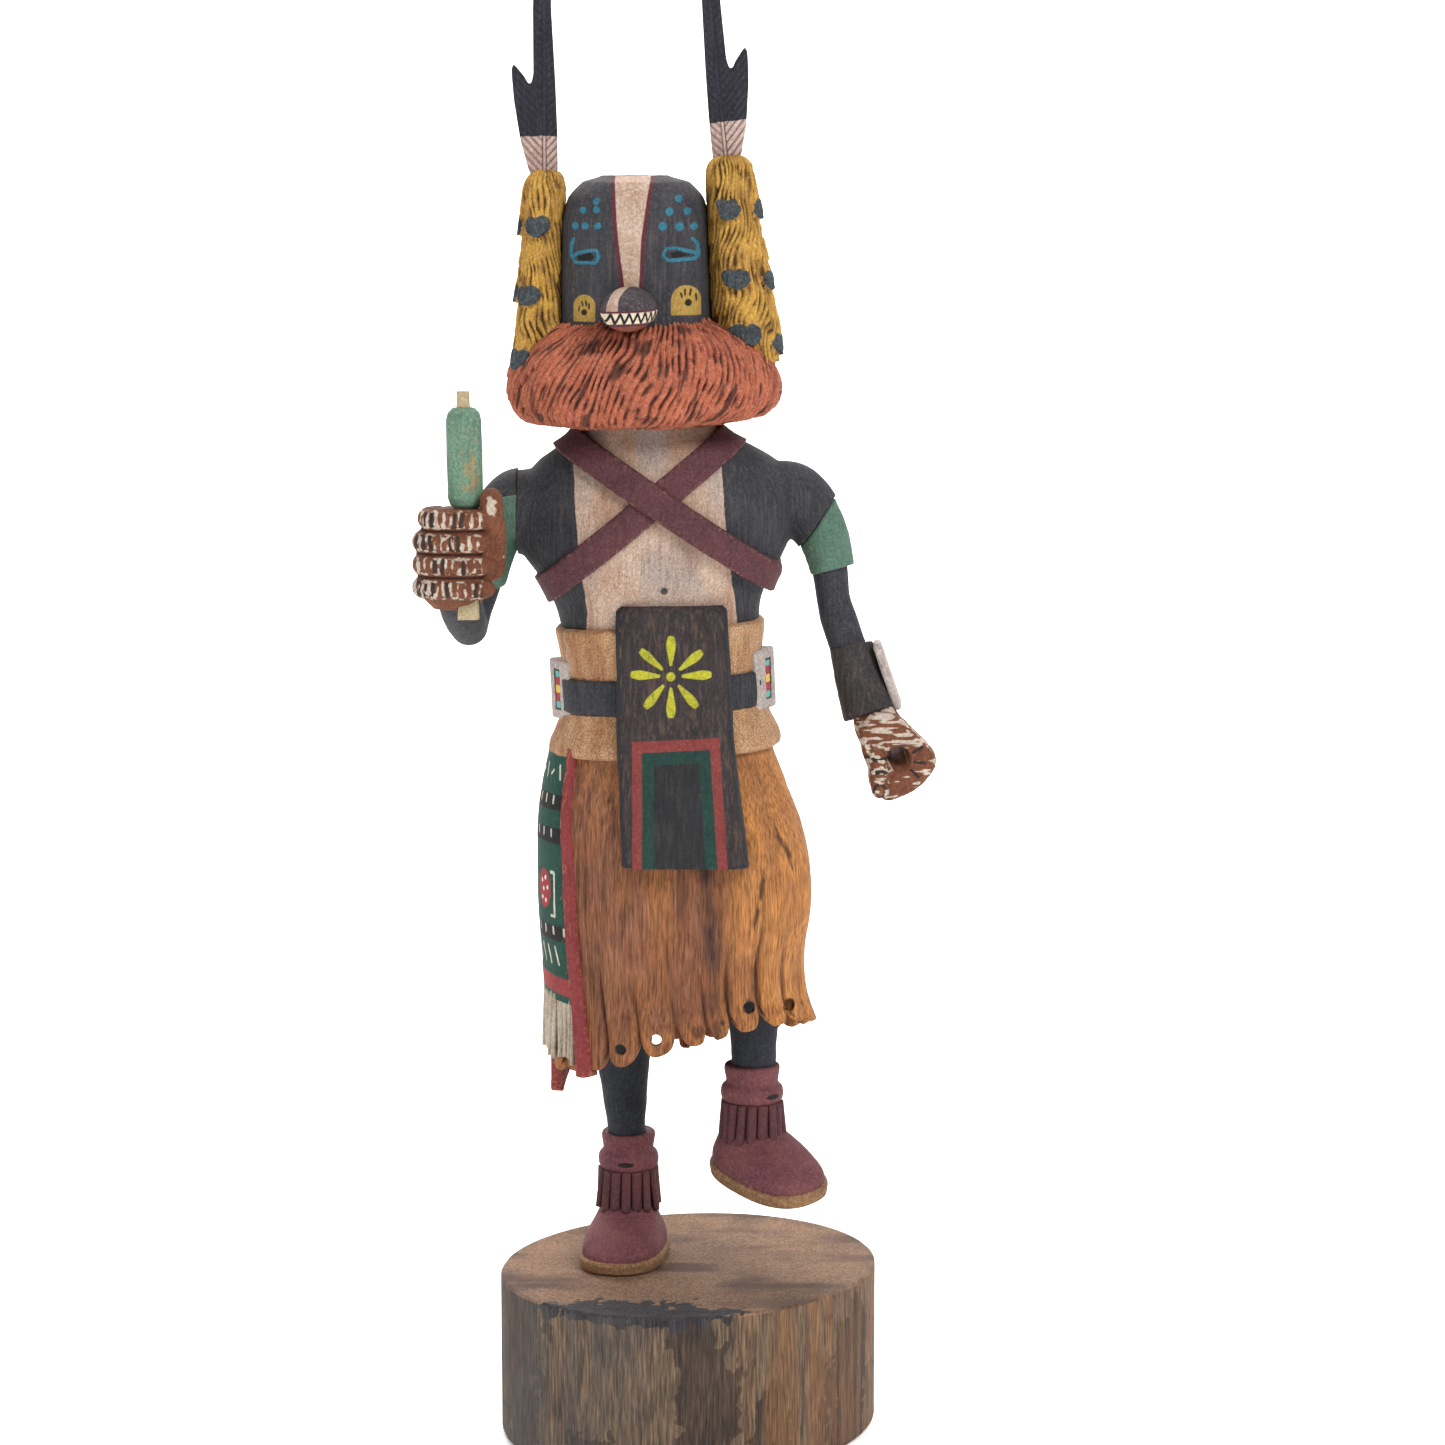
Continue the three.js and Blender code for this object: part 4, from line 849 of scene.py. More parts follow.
def makeSkirt():
    angle = np.arange(840) / 840 * 2 * math.pi
    off = fromTab(angle)
    share = np.concatenate([np.linspace(0, 0.9, 62), np.linspace(0.91, 1, 22)])[:, None]
    notch = skirt["notch"] * (0.75 * off**3 + 0.25 * off**12)
    z = skirt["top"] + (meanHem(angle) - skirt["top"]) * share + notch * share**20
    fade = unit((meanHem(angle) + 25 + 7 * np.sin(5 * angle) - z) / 20)
    flute = -fade * (0.9 * off**3 + 1.5 * off**14)
    folds = -0.5 * unit((140 - z) / 60) * (1 + np.cos(7 * angle + 0.05 * z + 1.3 * np.sin(2 * angle)))
    outer = onSkin(skirtRows, angle[None, :], z, flute + folds)
    inner = []
    for t in np.linspace(0, 1, 10):
        height = z[-1] * (1 - t) + (62 + skirt["hollow"]) * t
        inner.append(onSkin(skirtRows, angle, height, -skirt["wall"] + (flute + folds)[-1] * (1 - t)))
    edge = (outer[-1] + inner[0]) / 2 - [0, 0, 0.5]
    piece = gridSolid("skirt", np.concatenate([outer, edge[None], np.array(inner)]))
    for x, height in skirt["holes"]:
        hole = limb([[x, -45, height, skirt["hole"] / 2], [x, -12, height, skirt["hole"] / 2]], 20, 2, domed=False)
        cut(piece, gridSolid("hole", hole))
    p = spots(piece)
    px, py, pz = p.T
    outside = pz > meanHem(np.arctan2(py, px)) - 3
    grainy = noiseAt(p * [1, 1, 0.07], 1.7, 51) * 0.16 + noiseAt(p * [1, 1, 0.2], 5, 52) * 0.22
    push(piece, np.where(outside, grainy - 0.1, 0))
    edge = pz - meanHem(np.arctan2(py, px + 3))
    layout = p[:, [0, 2]]
    knots = np.minimum(strokes(layout, skirt["knots"], 1.1), discs(layout, skirt["roundKnots"]))
    crack = strokes(layout, skirt["cracks"], 0.35)
    front = py < 0
    drift = 0.5 * noiseAt(p * [1, 1, 0.22], 7, 53) + 0.35 * noiseAt(p * [1, 1, 0.12], 2.6, 54)
    # painted light: lighter and more golden towards the right side, with drifting tone over it
    gold = unit((px - 3 + 0.1 * (pz - 100)) / 16) * 0.8 + drift
    dark = np.exp(-((px - 2) / 13) ** 2) * unit((128 - pz) / 30) * 0.8 + drift * 0.8 - 0.15
    low = unit(1 - edge / 9) * 0.6 + 0.5 * noiseAt(p * [1, 1, 0.3], 4, 55)
    run = np.interp(pz, [80, 95, 110, 119], [7.4, 6.6, 5.4, 4.6])
    stain = np.exp(-((px - run) / 1.9) ** 2) * (pz < 120) * front
    section = sectionAt(skirtRows, pz)
    flat = (p[:, :2] - section[:, 1:3]) / section[:, 3:5]
    facing = np.arctan2(bulge(flat[:, 1], 4 / 2.2), bulge(flat[:, 0], 4 / 2.2))
    # painted shade: darker down in the sunk flutes between the tabs
    flute = unit((meanHem(facing) + 34 + 12 * np.sin(5 * facing) - pz) / 26) * fromTab(facing) ** 5
    flute = flute * (0.8 + 0.6 * noiseAt(p, 6, 59))
    streak = unit(noiseAt(p * [1, 1, 0.05], 1.1, 57) * 1.5 + noiseAt(p * [1, 1, 0.08], 2.4, 58) * 1.2 - 0.15)
    knot = np.maximum(unit(0.5 - knots / 0.9), unit(0.5 - crack / 0.3)) * front
    mark(piece, streak=streak, flute=unit(flute), knot=knot, gold=unit(gold),
         dark=unit(dark), low=unit(low), stain=stain * unit(0.9 + 0.6 * noiseAt(p, 4, 56)))
    return piece


# Stained skirt: orange-brown wood stain, its vertical grain left to show, with painted light on its right side and
# painted shade in the flutes between the tabs
skirtStain = paintedWood("orange_brown_stain", {
    "coat": ("#794e38", "#68412e", "#492b22", 0.75, "#8a6249", 0.4), "grainSize": (0.6, 26), "shadeSize": 10,
    "wobble": 0.6, "patch": ("#7d4c30", 0.45), "patchSize": 12,
    "washes": {
        "streak": ("#472a1f", 0.65), "gold": ("#b0763d", 0.8), "dark": ("#673c27", 0.75), "low": ("#a66b33", 0.45),
        "stain": ("#33231f", 0.9), "flute": ("#4a2c20", 0.75), "knot": ("#2a1c18", 0.9),
    },
    "bump": 1.0, "grainDepth": 1.8, "speckSize": 0.6, "speckStretch": 12.0, "mottle": 0.55,
})
dress(makeSkirt(), skirtStain, *onSkirt)
print("skirt made")


def edgePath(name, line, closed=False):
    piece = toMesh(name, line, [])
    count = len(line) if closed else len(line) - 1
    piece.data.edges.add(count)
    piece.data.edges.foreach_set("vertices",
                                 np.stack([np.arange(count), (np.arange(count) + 1) % len(line)], -1).ravel())
    return piece


def panel(angles, footAngles, top, foot, relief, across, down, sunk=3.0):
    # rings across a strip that lies on the skirt, with its back sunk in it
    share = np.linspace(0, 1, across)
    rings = []
    for t in np.linspace(0, 1, down):
        start, end = (a + (b - a) * t for a, b in zip(angles, footAngles))
        angle = np.radians(start + (end - start) * share)
        z = top + (foot(share) - top) * t
        face = onSkin(skirtRows, angle, z, relief(share, z))
        back = onSkin(skirtRows, angle[::-6], z[::-6], -sunk)
        rings.append(np.vstack([face, back]))
    return np.array(rings)


sash = {
    "from": 168, "degrees": 60, "width": 38, "top": 149, "edge": 1.6, "barAt": 85.6,
    "bands": (134.2, 125.2, 98.4), "bandHalf": 2.1, "lens": (22, 110), "lensSize": (4.4, 5.4),
    "dots": [(20.4, 112, 0.6), (23, 113, 0.6), (21.6, 109.8, 0.6), (24.4, 110.4, 0.6), (20.6, 107.4, 0.6),
             (23.2, 106.8, 0.6)],
}


def makeSash():
    def relief(share, z):
        border = 0.5 * unit((0.05 - share) / 0.02)
        bar = 0.35 * unit(1 - np.abs(z - 84.4) / 3.4) ** 0.3
        edge = np.minimum(share, 1 - share)
        return 1.4 * np.clip(edge / 0.02, 0.1, 1) ** 0.5 + np.maximum(border, bar) * 0.6

    piece = gridSolid("sash_front",
                      panel((sash["from"], 217), (sash["from"], 223), sash["top"], lambda s: 80.6 - 1.5 * s, relief,
                            121, 220))
    p = spots(piece)
    px, py, pz = p.T
    section = sectionAt(skirtRows, pz)
    angle = np.degrees(np.arctan2(py / section[:, 4], (px - section[:, 1]) / section[:, 3])) % 360
    u = (angle - sash["from"]) / sash["degrees"] * sash["width"]
    v = pz
    flat = np.stack([u, v], -1)
    red = np.minimum(u - sash["edge"], np.abs(v - sash["barAt"] + 0.06 * u) - 2.4)
    bands, dashes = np.full(len(p), 99.0), np.full(len(p), 99.0)
    for z in sash["bands"]:
        bands = np.minimum(bands, within(v, z - sash["bandHalf"], z + sash["bandHalf"]))
        for k in range(6):
            dashes = np.minimum(dashes, np.maximum(np.abs(u - 6.4 - 5.2 * k) - 0.42, np.abs(v - z - 0.6) - 1.2))
    lens = oval(u, v, *sash["lens"], *sash["lensSize"])
    lensLine = np.minimum(np.maximum(np.abs(u - 28.4) - 0.4, np.abs(v - 109) - 6),
                          np.maximum(np.abs(np.abs(v - 109) - 6) - 0.4, np.abs(u - 27.4) - 1.2))
    dots = discs(flat, sash["dots"])
    vees = strokes(flat, [[(5.4 + 4.4 * k, 94.4), (7.2 + 4.4 * k, 89.8)] for k in range(6)] +
                   [[(8 + 5 * k, 144 - (k % 2) * 2.5), (9.4 + 5 * k, 140.5 + (k % 2) * 2)] for k in range(5)], 0.75)
    inside = within(u, 2.6, 34)
    mark(piece, redPart=red, bandPart=np.maximum(bands, inside),
         whitePart=np.maximum(np.minimum(np.minimum(dashes, lensLine), vees), inside),
         lensPart=lens * 7.5, dotPart=dots)
    roughen(piece, (0.06, 1.2, 61))
    return piece


# Woven sash in carved wood: green ground with red edges and small worked marks
sashPaint = paintedWood("matt_green_and_red_paint", {
    "coat": ("#1a4136", "#15362f", "#122a25", 0.35, "#285244", 0.3), "wobble": 0.3,
    "layers": {
        "bandPart": "#1b1a1d", "lensPart": "#8c2f33", "whitePart": "#b9b2a4", "dotPart": "#d8cfc0",
        "redPart": ("#863231", "#772c2f", "#622427", 0.4, "#93483f", 0.3),
    },
    "wear": ("#7d5a40", 0.64, 0.4),
})
dress(makeSash(), sashPaint, *onSkirt)
rearGrid = panel((140, 173), (140, 173), sash["top"], lambda s: 62 - 13 * s,
                 lambda s, z: 0.8 * np.clip(np.minimum(s, 1 - s) / 0.04, 0.1, 1) ** 0.5, 61, 160)
rearTail = gridSolid("sash_rear", rearGrid)
roughen(rearTail, (0.12, 2.4, 63))
# Plain red tail of the sash
redPaint = paintedWood("matt_red_paint", {
    "coat": ("#7c3132", "#6a2a2c", "#542224", 0.4, "#8b463e", 0.3), "wear": ("#9a6a4c", 0.64, 0.4),
})
dress(rearTail, redPaint, *onSkirt)

# Cotton fringe in carved wood: cream cords, with painted shade between them from a black sheet behind
fringePaint = paintedWood("cream_paint_over_dark", {
    "coat": ("#ada192", "#9b8975", "#5d4e41", 0.5, "#bfb7ac", 0.4), "grainSize": (0.5, 8),
})
fringe = {"Count": 27, "Length": 0.019, "Width": 0.00115, "Thickness": 0.0016, "Flare": 0.0, "Seed": 4}
edgeGrid = panel((216.6, 221.2), (221.5, 227.6), sash["top"], lambda s: 60 + 0 * s,
                 lambda s, z: 2.0 * np.clip(np.minimum(s, 1 - s) / 0.16, 0.15, 1) ** 0.5, 31, 200)
sashEdge = gridSolid("sash_edge", edgeGrid)
roughen(sashEdge, (0.1, 2.4, 64))
dress(sashEdge, redPaint, *onSkirt)
# painted shade: a thin black sheet on the skirt behind the fringe, dark between the cords
fringeShade = gridSolid("fringe_shade_sheet",
                    panel((169.5, 220), (169.5, 222), 84, lambda s: 65 + 0 * s, lambda s, z: 0.25 + 0 * s, 61, 24,
                          1.5))
dress(fringeShade, beltPaint, *onSkirt)
share = np.linspace(0, 1, 60)
line = onSkin(skirtRows, np.radians(169.5 + 51.5 * share), 83.4 - 1.6 * share, 0.6)
path = applyTree(edgePath("sash_fringe", line), hang, {**fringe, "Material": fringePaint})
dress(path, None, *onSkirt)


# Fox pelt in carved wood: rust brown with darker cuts
peltPaint = paintedWood("rust_brown_paint", {
    "coat": ("#8a5230", "#6f4028", "#4a2a1e", 0.5, "#a86c40", 0.4), "groove": ("#2f1d18", 0.35, 0.8, 0.8),
})
peltAround, peltLength = 46, 106
peltValues = {"Pitch": 2.3, "Tip spacing": 17.0, "Depth": 0.9, "Slant": 0.12, "Warp": 5.0, "Seed": 3}
peltGrid = limb([[-6, 19, 158, 5, 1.2], [-5, 27, 132, 6.5, 1.3], [-3, 32, 100, 7, 1.3], [-1, 34, 74, 6, 1.2],
                 [-1, 35, 56, 2.2, 1]], 120, 60)
pelt = gridSolid("pelt", peltGrid)
rows, columns = peltGrid.shape[:2]
mark(pelt, across=np.append(np.tile(np.arange(columns) / columns * peltAround, rows), [0, 0]),
     along=np.append(np.repeat(np.arange(rows) / rows * peltLength, columns), [0, peltLength]), fade=1.0)
applyTree(pelt, comb, {**peltValues, "Material": peltPaint})
dress(pelt, None, *onSkirt)
print("sash, fringe and pelt made")


# Legs and moccasins

standing = limb([[-15, 2, 92, 8.8], [-17.4, 6, 72, 8.2], [-18.3, 9, 58, 7.4], [-17.8, 13, 40, 5.6],
                 [-17.3, 15, 30, 5.2]], 60, 14)
raisedLeg = limb([[16, 1, 92, 8.8], [17.6, 0, 76, 7.4], [18.1, 1, 66, 6.6], [17.8, 2, 54, 6],
                  [17.6, 2, 46, 6]], 60, 14)
legPiece = gridSolid("legs", standing, raisedLeg)
roughen(legPiece, (0.16, 5, 71), (0.08, 2, 72))
# Painted legs: blue-black, matt
legPaint = paintedWood("blue_black_paint", {
    "coat": ("#20232b", "#1a1c22", "#2f2c2c", 0.3, "#33393d", 0.25), "wear": ("#5f5446", 0.64, 0.35),
})
dress(legPiece, legPaint, *onDancer)

shoeRows = [
    [2.6, 0, -7.4, 11.0, 18.2, 2.5], [3.4, 0, -7.4, 11.4, 18.8, 2.5], [6.0, 0, -6.8, 11.0, 17.8, 2.8],
    [9.0, 0, -4.6, 9.9, 14.8, 2.6], [11.6, 0, -1.6, 8.6, 11.0, 2.3], [14, 0, 0, 7.9, 8.8, 2],
]
soleRows = [
    [0, 0, -7.5, 11.2, 18.6, 2.5], [0.5, 0, -7.5, 11.9, 19.3, 2.5], [2.9, 0, -7.5, 12.2, 19.6, 2.5],
    [3.6, 0, -7.5, 11.7, 19.1, 2.5],
]
ankleRows = [
    [12, 0, 0, 7.4, 8, 2], [24.2, 0, 0, 7.3, 7.8, 2], [25.0, 0, 0, 8.1, 8.6, 2],
    [26, 0, 0, 8.5, 9, 2], [27.4, 0, 0, 8.6, 9.1, 2], [29, 0, 0, 8.2, 8.7, 2],
    [29.8, 0, 0, 7.2, 7.6, 2], [30.6, 0, 0, 7.2, 7.6, 2], [34.2, 0, 0, 7.7, 8.1, 2],
    [35, 0, 0, 7.3, 7.7, 2],
]
# Dyed hide moccasin in carved wood, and its tan rawhide sole
hidePaint = paintedWood("maroon_brown_paint", {
    "coat": ("#683b3e", "#593038", "#44272c", 0.35, "#7b534f", 0.3), "layers": {"eyelet": "#1d1516"}, "wobble": 0.3,
    "wear": ("#9a6450", 0.645, 0.35),
})
# the thongs and the sole take more painted shade in their hollows
thongPaint = paintedWood("maroon_thong_paint", {
    "coat": ("#532e30", "#442730", "#321c22", 0.4, "#62423f", 0.3), "hollowShade": 0.8,
})
solePaint = paintedWood("tan_paint", {
    "coat": ("#7c5b3e", "#694a33", "#463026", 0.5, "#9a795b", 0.45), "hollowShade": 0.9,
})

thongs = {"Count": 17, "Length": 0.0118, "Width": 0.0026, "Thickness": 0.0019, "Flare": -0.07, "Seed": 6}
eyelet = (0.6, 27, 2.4, 0.75)
feet = {  # place, turn, and the tip of the foot sideways, forwards and up
    "standing": ((-17.2, 15.5, 0), -8, (0, 0, 0)),
    "raised": ((17.6, 2, 22.6), 37, (0.13, 0.13, 3.6)),
}


def placed(grid, at, yaw, tipped=(0, 0, 0)):
    # turned about Z and set in place, with the foot below the ankle tipped sideways and toe down
    c, n = math.cos(turn(yaw)), math.sin(turn(yaw))
    fall = unit((20 - grid[..., 2]) / 9) * (tipped[0] * grid[..., 0] + tipped[1] * grid[..., 1] + tipped[2])
    grid = grid + fall[..., None] * [0, 0, 1]
    return grid @ np.array([[c, n, 0], [-n, c, 0], [0, 0, 1]]) + at


for side, (at, yaw, tipped) in feet.items():
    shoe = carve("moccasin_" + side, placed(loft(shoeRows, 0.4, 120), at, yaw, tipped),
                 placed(loft(ankleRows, 0.3, 120), at, yaw), voxel=0.45, smooth=3)
    p = spots(shoe)
    px, py, pz = p.T
    roughen(shoe, (0.1, 3, 75), lift=-0.05)
    c, n = math.cos(turn(yaw)), math.sin(turn(yaw))
    ahead, aside = (px - at[0]) * n - (py - at[1]) * c, (px - at[0]) * c + (py - at[1]) * n
    mark(shoe, eyelet=np.where(ahead > 0, oval(aside, pz - at[2], *eyelet), 9))
    dress(shoe, hidePaint, *onDancer)
    sole = gridSolid("sole_" + side, placed(loft(soleRows, 0.25, 160), at, yaw, tipped))
    dress(sole, solePaint, *onDancer)
    around = np.arange(48) / 48 * 2 * math.pi
    ring = placed(np.stack([7.6 * np.cos(around), 8.1 * np.sin(around), np.full(48, 24.6)], -1), at, yaw)
    strips = applyTree(edgePath("fringe_" + side, ring, True), hang, {**thongs, "Material": thongPaint})
    dress(strips, None, *onDancer)
print("legs and moccasins made")


# Mask

maskRows = [
    [252, -13.4, 0, 19.5, 19.2, 2.8], [262, -13.6, 0, 20.4, 20, 2.9], [280, -13.8, 0, 19.9, 19.8, 2.9],
    [291, -13.9, 0, 19.4, 19.2, 2.8], [296.6, -13.8, 0, 17.9, 17.6, 2.6], [300.6, -13.8, 0, 14.2, 14, 2.4],
    [302.3, -14.3, 0, 9, 8.8, 2.2],
]
maskYaw = turn(-5)
maskMarks = {"leftDot": 0.95, "rightDot": 1.02, "eyeLine": 0.85, "printLine": 0.5, "stripeBorder": 1.15,
             "crownFrom": 296, "crownRise": 6.3}


def faceMm(cx, cy):
    # place in mm on the mask's front of a point of the painting's own layout
    return (-33.5 + cx * 0.03195, 306.5 - cy * 0.03175)


def domedPatch(p, x0, y0, x1, y1):
    (left, top), (right, foot) = faceMm(x0, y0), faceMm(x1, y1)
    middle, half = (left + right) / 2, (right - left) / 2
    dome = np.hypot(p[:, 0] - middle, np.maximum(p[:, 1] - (top - half), 0)) - half
    return np.maximum(dome, foot - p[:, 1])


def makeMask():
    low = np.linspace(maskRows[0][0], maskMarks["crownFrom"], 110)
    high = maskMarks["crownFrom"] + maskMarks["crownRise"] * np.sin(np.linspace(0, math.pi / 2, 24))[1:]
    z = np.concatenate([low, high])[:, None]
    angle = evenAngles(maskRows, 460, 3.0)[None, :]
    grid = onSkin(maskRows, angle, z, 0, maskYaw)
    crown = [grid[-1] * (1 - s) + grid[-1].mean(0) * s for s in np.linspace(0, 0.95, 12)[1:]]
    piece = gridSolid("mask", np.concatenate([grid, np.array(crown)]))
    p = spots(piece)
    py = p[:, 1]
    push(piece, 0.14 * noiseAt(p, 6, 81) + 0.07 * noiseAt(p * [1, 1, 0.3], 2, 82) - 0.1)
    flat = p[:, [0, 2]]
    dot = lambda places, r: [(*faceMm(cx, cy), r * s) for cx, cy, s in places]
    left = dot([(297, 340, 1), (187, 415, 0.95), (297, 412, 1), (118, 545, 1), (205, 545, 1), (310, 545, 1)],
               maskMarks["leftDot"])
    right = dot([(980, 318, 1), (905, 425, 1), (1055, 422, 1), (850, 548, 1.12), (990, 550, 1.12), (1110, 548, 1)],
                maskMarks["rightDot"])
    at = lambda *pairs: [faceMm(x, y) for x, y in pairs]
    eyes = strokes(flat, [
        at((105, 655), (85, 700), (80, 790), (120, 850), (290, 850), (318, 800), (300, 750), (230, 748), (130, 775),
           (100, 800)),
        at((1095, 650), (1140, 690), (1150, 780), (1120, 815), (900, 830), (850, 790), (880, 730), (960, 725),
           (1130, 770)),
    ], maskMarks["eyeLine"])
    blue = np.minimum(discs(flat, left + right), eyes)
    slits = np.minimum(polygon(flat, at((130, 800), (245, 765), (280, 800), (250, 835), (150, 835))),
                       polygon(flat, at((900, 770), (960, 750), (1080, 785), (930, 810))))
    paws = np.minimum(domedPatch(flat, 100, 1115, 285, 1340), domedPatch(flat, 915, 1035, 1170, 1285))
    prints = np.minimum(discs(flat, [(*faceMm(190, 1262), 0.85), (*faceMm(1062, 1180), 0.95)]),
                        strokes(flat, [at((150, 1215), (145, 1250)), at((172, 1170), (180, 1210)),
                                       at((205, 1165), (210, 1205)), at((232, 1190), (232, 1230)),
                                       at((1000, 1100), (1010, 1135)), at((1035, 1070), (1035, 1115)),
                                       at((1085, 1070), (1075, 1115)), at((1125, 1110), (1130, 1160))],
                                maskMarks["printLine"]))
    height = flat[:, 1]
    stripeL = np.interp(height, [270, 273, 286, 296, 301], [-16.4, -16.6, -18.2, -18.9, -19.2])
    stripeR = np.interp(height, [270, 273, 286, 296, 301], [-12.9, -12.7, -12.1, -10.6, -9.7])
    front = py < 3
    stripe = np.where(front, within(flat[:, 0], stripeL, stripeR), 9)
    onFace = py < -6
    onlyFace = {"blue": blue, "slit": slits, "ochre": paws, "print": prints}
    mark(piece, **{name: np.where(onFace, value, 9) for name, value in onlyFace.items()},
         stripe=stripe, border=stripe - maskMarks["stripeBorder"])
    return piece


# Mask: matt black brushed over the wood, with cream, maroon, turquoise and ochre marks
maskPaint = paintedWood("matt_black_mask_paint", {
    "coat": ("#323338", "#292a30", "#554840", 0.35, "#4e4949", 0.25), "wobble": 0.35,
    "layers": {
        "border": ("#52242d", "#481f27", "#33171d", 0.3, "#643540", 0.3), "stripe": creamCoat,
        "blue": ("#2a687d", "#225a6f", "#1a4557", 0.4, "#3c7b8d", 0.35), "slit": "#151416",
        "ochre": ("#a1833c", "#907135", "#6c522c", 0.4, "#ae9456", 0.3), "print": "#1c1814",
    },
    "wear": ("#6b5138", 0.63, 0.4),
})
dress(makeMask(), maskPaint, *onDancer)

snoutMarks = {"teethHalf": 1.7, "toothPitch": 2.3, "line": 0.78}
snoutGrid = limb([[-14.4, -14, 267.8, 5.2, 1.3], [-15.1, -20, 267.7, 5.7, 1.28], [-15.6, -26, 267.3, 5.6, 1.28],
                  [-15.9, -31, 266.9, 4.8, 1.3]], 160, 26)
snout = carve("snout", snoutGrid, voxel=0.2, smooth=3)
p = spots(snout)
px, py, pz = p.T
flat = p[:, [0, 2]]
roughen(snout, (0.06, 2, 85))
u = px + 0.25 * (py + 31)
v = pz - 265.6 - 0.04 * (px + 15.6)
teeth = within(v, -snoutMarks["teethHalf"], snoutMarks["teethHalf"])
zigzag = np.abs(v - 1.3 * (2 * np.abs(((u / snoutMarks["toothPitch"]) % 1) * 2 - 1) - 1)) - snoutMarks["line"]
mark(snout, teeth=teeth, zigzag=np.maximum(zigzag, teeth + 0.2), gum=np.abs(teeth) - 0.28,
     jaw=v + 2.1, nose=np.maximum(np.abs(px + 17.6 - 0.22 * (py + 26)) - 1.7, 1.9 - v))
# Snout: dark paint with a cream blaze, a band of teeth and a red-brown jaw
snoutPaint = paintedWood("matt_snout_paint", {
    "coat": ("#3a3338", "#2f2a2e", "#564840", 0.3, "#6a6068", 0.35), "wobble": 0.2,
    "layers": {
        "nose": creamCoat, "jaw": ("#7a4034", "#62322a", "#4a2822", 0.4, "#93584a", 0.3),
        "teeth": ("#cfc2ac", "#bfae94", "#a08a6a", 0.3, "#ddd2c0", 0.3), "zigzag": "#1c181a", "gum": "#4c2430",
    },
})
dress(snout, snoutPaint, "snout_paint", "badger_snout")
print("mask made")


# Ruff and ear tufts

ruffRows = [
    [235, -11.7, 0, 24, 20, 2.4], [236.4, -11.7, 0, 32.4, 27, 2.5], [240.4, -11.7, 0, 36.4, 30.5, 2.5],
    [247.4, -11.7, 0, 37.3, 31.4, 2.4], [254.6, -12, 0, 34.7, 29.5, 2.3], [260.6, -12.5, 0, 28, 25.4, 2.4],
    [265.5, -13.3, 0, 19, 18.8, 2.8],
]
# Fox-fur ruff in carved wood: burnt orange, cut in slanting locks with dark strokes in the cuts
ruffPaint = paintedWood("burnt_orange_paint", {
    "coat": ("#a85c40", "#97503a", "#784136", 0.4, "#b77b64", 0.35), "groove": ("#432622", 0.42, 0.9, 0.9),
    "shadeSize": 7, "strands": (0.5, 6.0, 0.4), "bump": 0.8, "grainDepth": 2.0,
    "washes": {"dim": ("#3a221e", 0.85)}, "mottle": 0.4,
})
ruffValues = {"Pitch": 2.1, "Tip spacing": 11.0, "Depth": 1.5, "Slant": 0.4, "Warp": 6.0, "Seed": 12}
ruffForm = {"around": 760, "step": 0.26, "waves": 9, "waveHeight": 0.5, "rightRise": 1.5}


def makeRuff():
    z = np.linspace(ruffRows[-1][0], ruffRows[0][0],
                    int((ruffRows[-1][0] - ruffRows[0][0]) / ruffForm["step"]))[:, None]
    angle = evenAngles(ruffRows, ruffForm["around"], 1.6)[None, :]
    wave = ruffForm["waveHeight"] * np.cos(ruffForm["waves"] * angle + (z - 236) * 0.16) - 0.3
    grid = onSkin(ruffRows, angle, z, wave)
    grid[..., 2] += unit((grid[..., 0] + 12) / 30) * ruffForm["rightRise"] * unit((252 - grid[..., 2]) / 14)
    around = runUp(np.linalg.norm(np.diff(grid[len(z) // 2], axis=0), axis=1))
    down = runUp(np.linalg.norm(np.diff(grid, axis=0), axis=2).mean(1))
    piece = gridSolid("ruff", grid)
    across = np.append(np.broadcast_to(around, grid.shape[:2]).ravel(), [0, 0])
    along = np.append(np.broadcast_to(down[:, None], grid.shape[:2]).ravel(), [0, down[-1]])
    lane = np.stack([across + ruffValues["Slant"] * along, along * 0.16, across * 0], -1)
    mark(piece, across=across, along=along, fade=1.0, dim=unit(noiseAt(lane, 1.15, 14) * 3.8 - 1.25))
    return applyTree(piece, comb, {**ruffValues, "Material": ruffPaint})


dress(makeRuff(), None, *onDancer)

tuftLeftRows = [
    [303.8, -37.8, 0, 2.4, 4, 2.1], [303.2, -37.8, 0, 4.2, 6.6, 2.2], [301.4, -38, 0, 5.5, 8.8, 2.3],
    [298.5, -38.1, 0, 6.1, 10, 2.3], [290, -38.4, 0, 6.3, 11.5, 2.4], [272, -39, 0, 6.8, 13, 2.4],
    [258, -39.6, 0, 8, 13.5, 2.4], [249.5, -41.6, 0, 6.6, 12.5, 2.4],
]
tuftRightRows = [
    [307.6, 11, 0, 2.8, 4, 2.1], [307, 11, 0, 4.8, 6.6, 2.2], [305.2, 11.1, 0, 6.3, 8.8, 2.3],
    [302, 11.3, 0, 7.1, 10, 2.3], [294, 12, 0, 7.5, 11.5, 2.4], [276, 13.8, 0, 8.7, 13, 2.4],
    [262, 15.4, 0, 9.3, 13.5, 2.4], [252.5, 19, 0, 6.4, 12.5, 2.4],
]
tuftValues = {"Pitch": 1.5, "Tip spacing": 15.0, "Depth": 1.25, "Warp": 8.0}
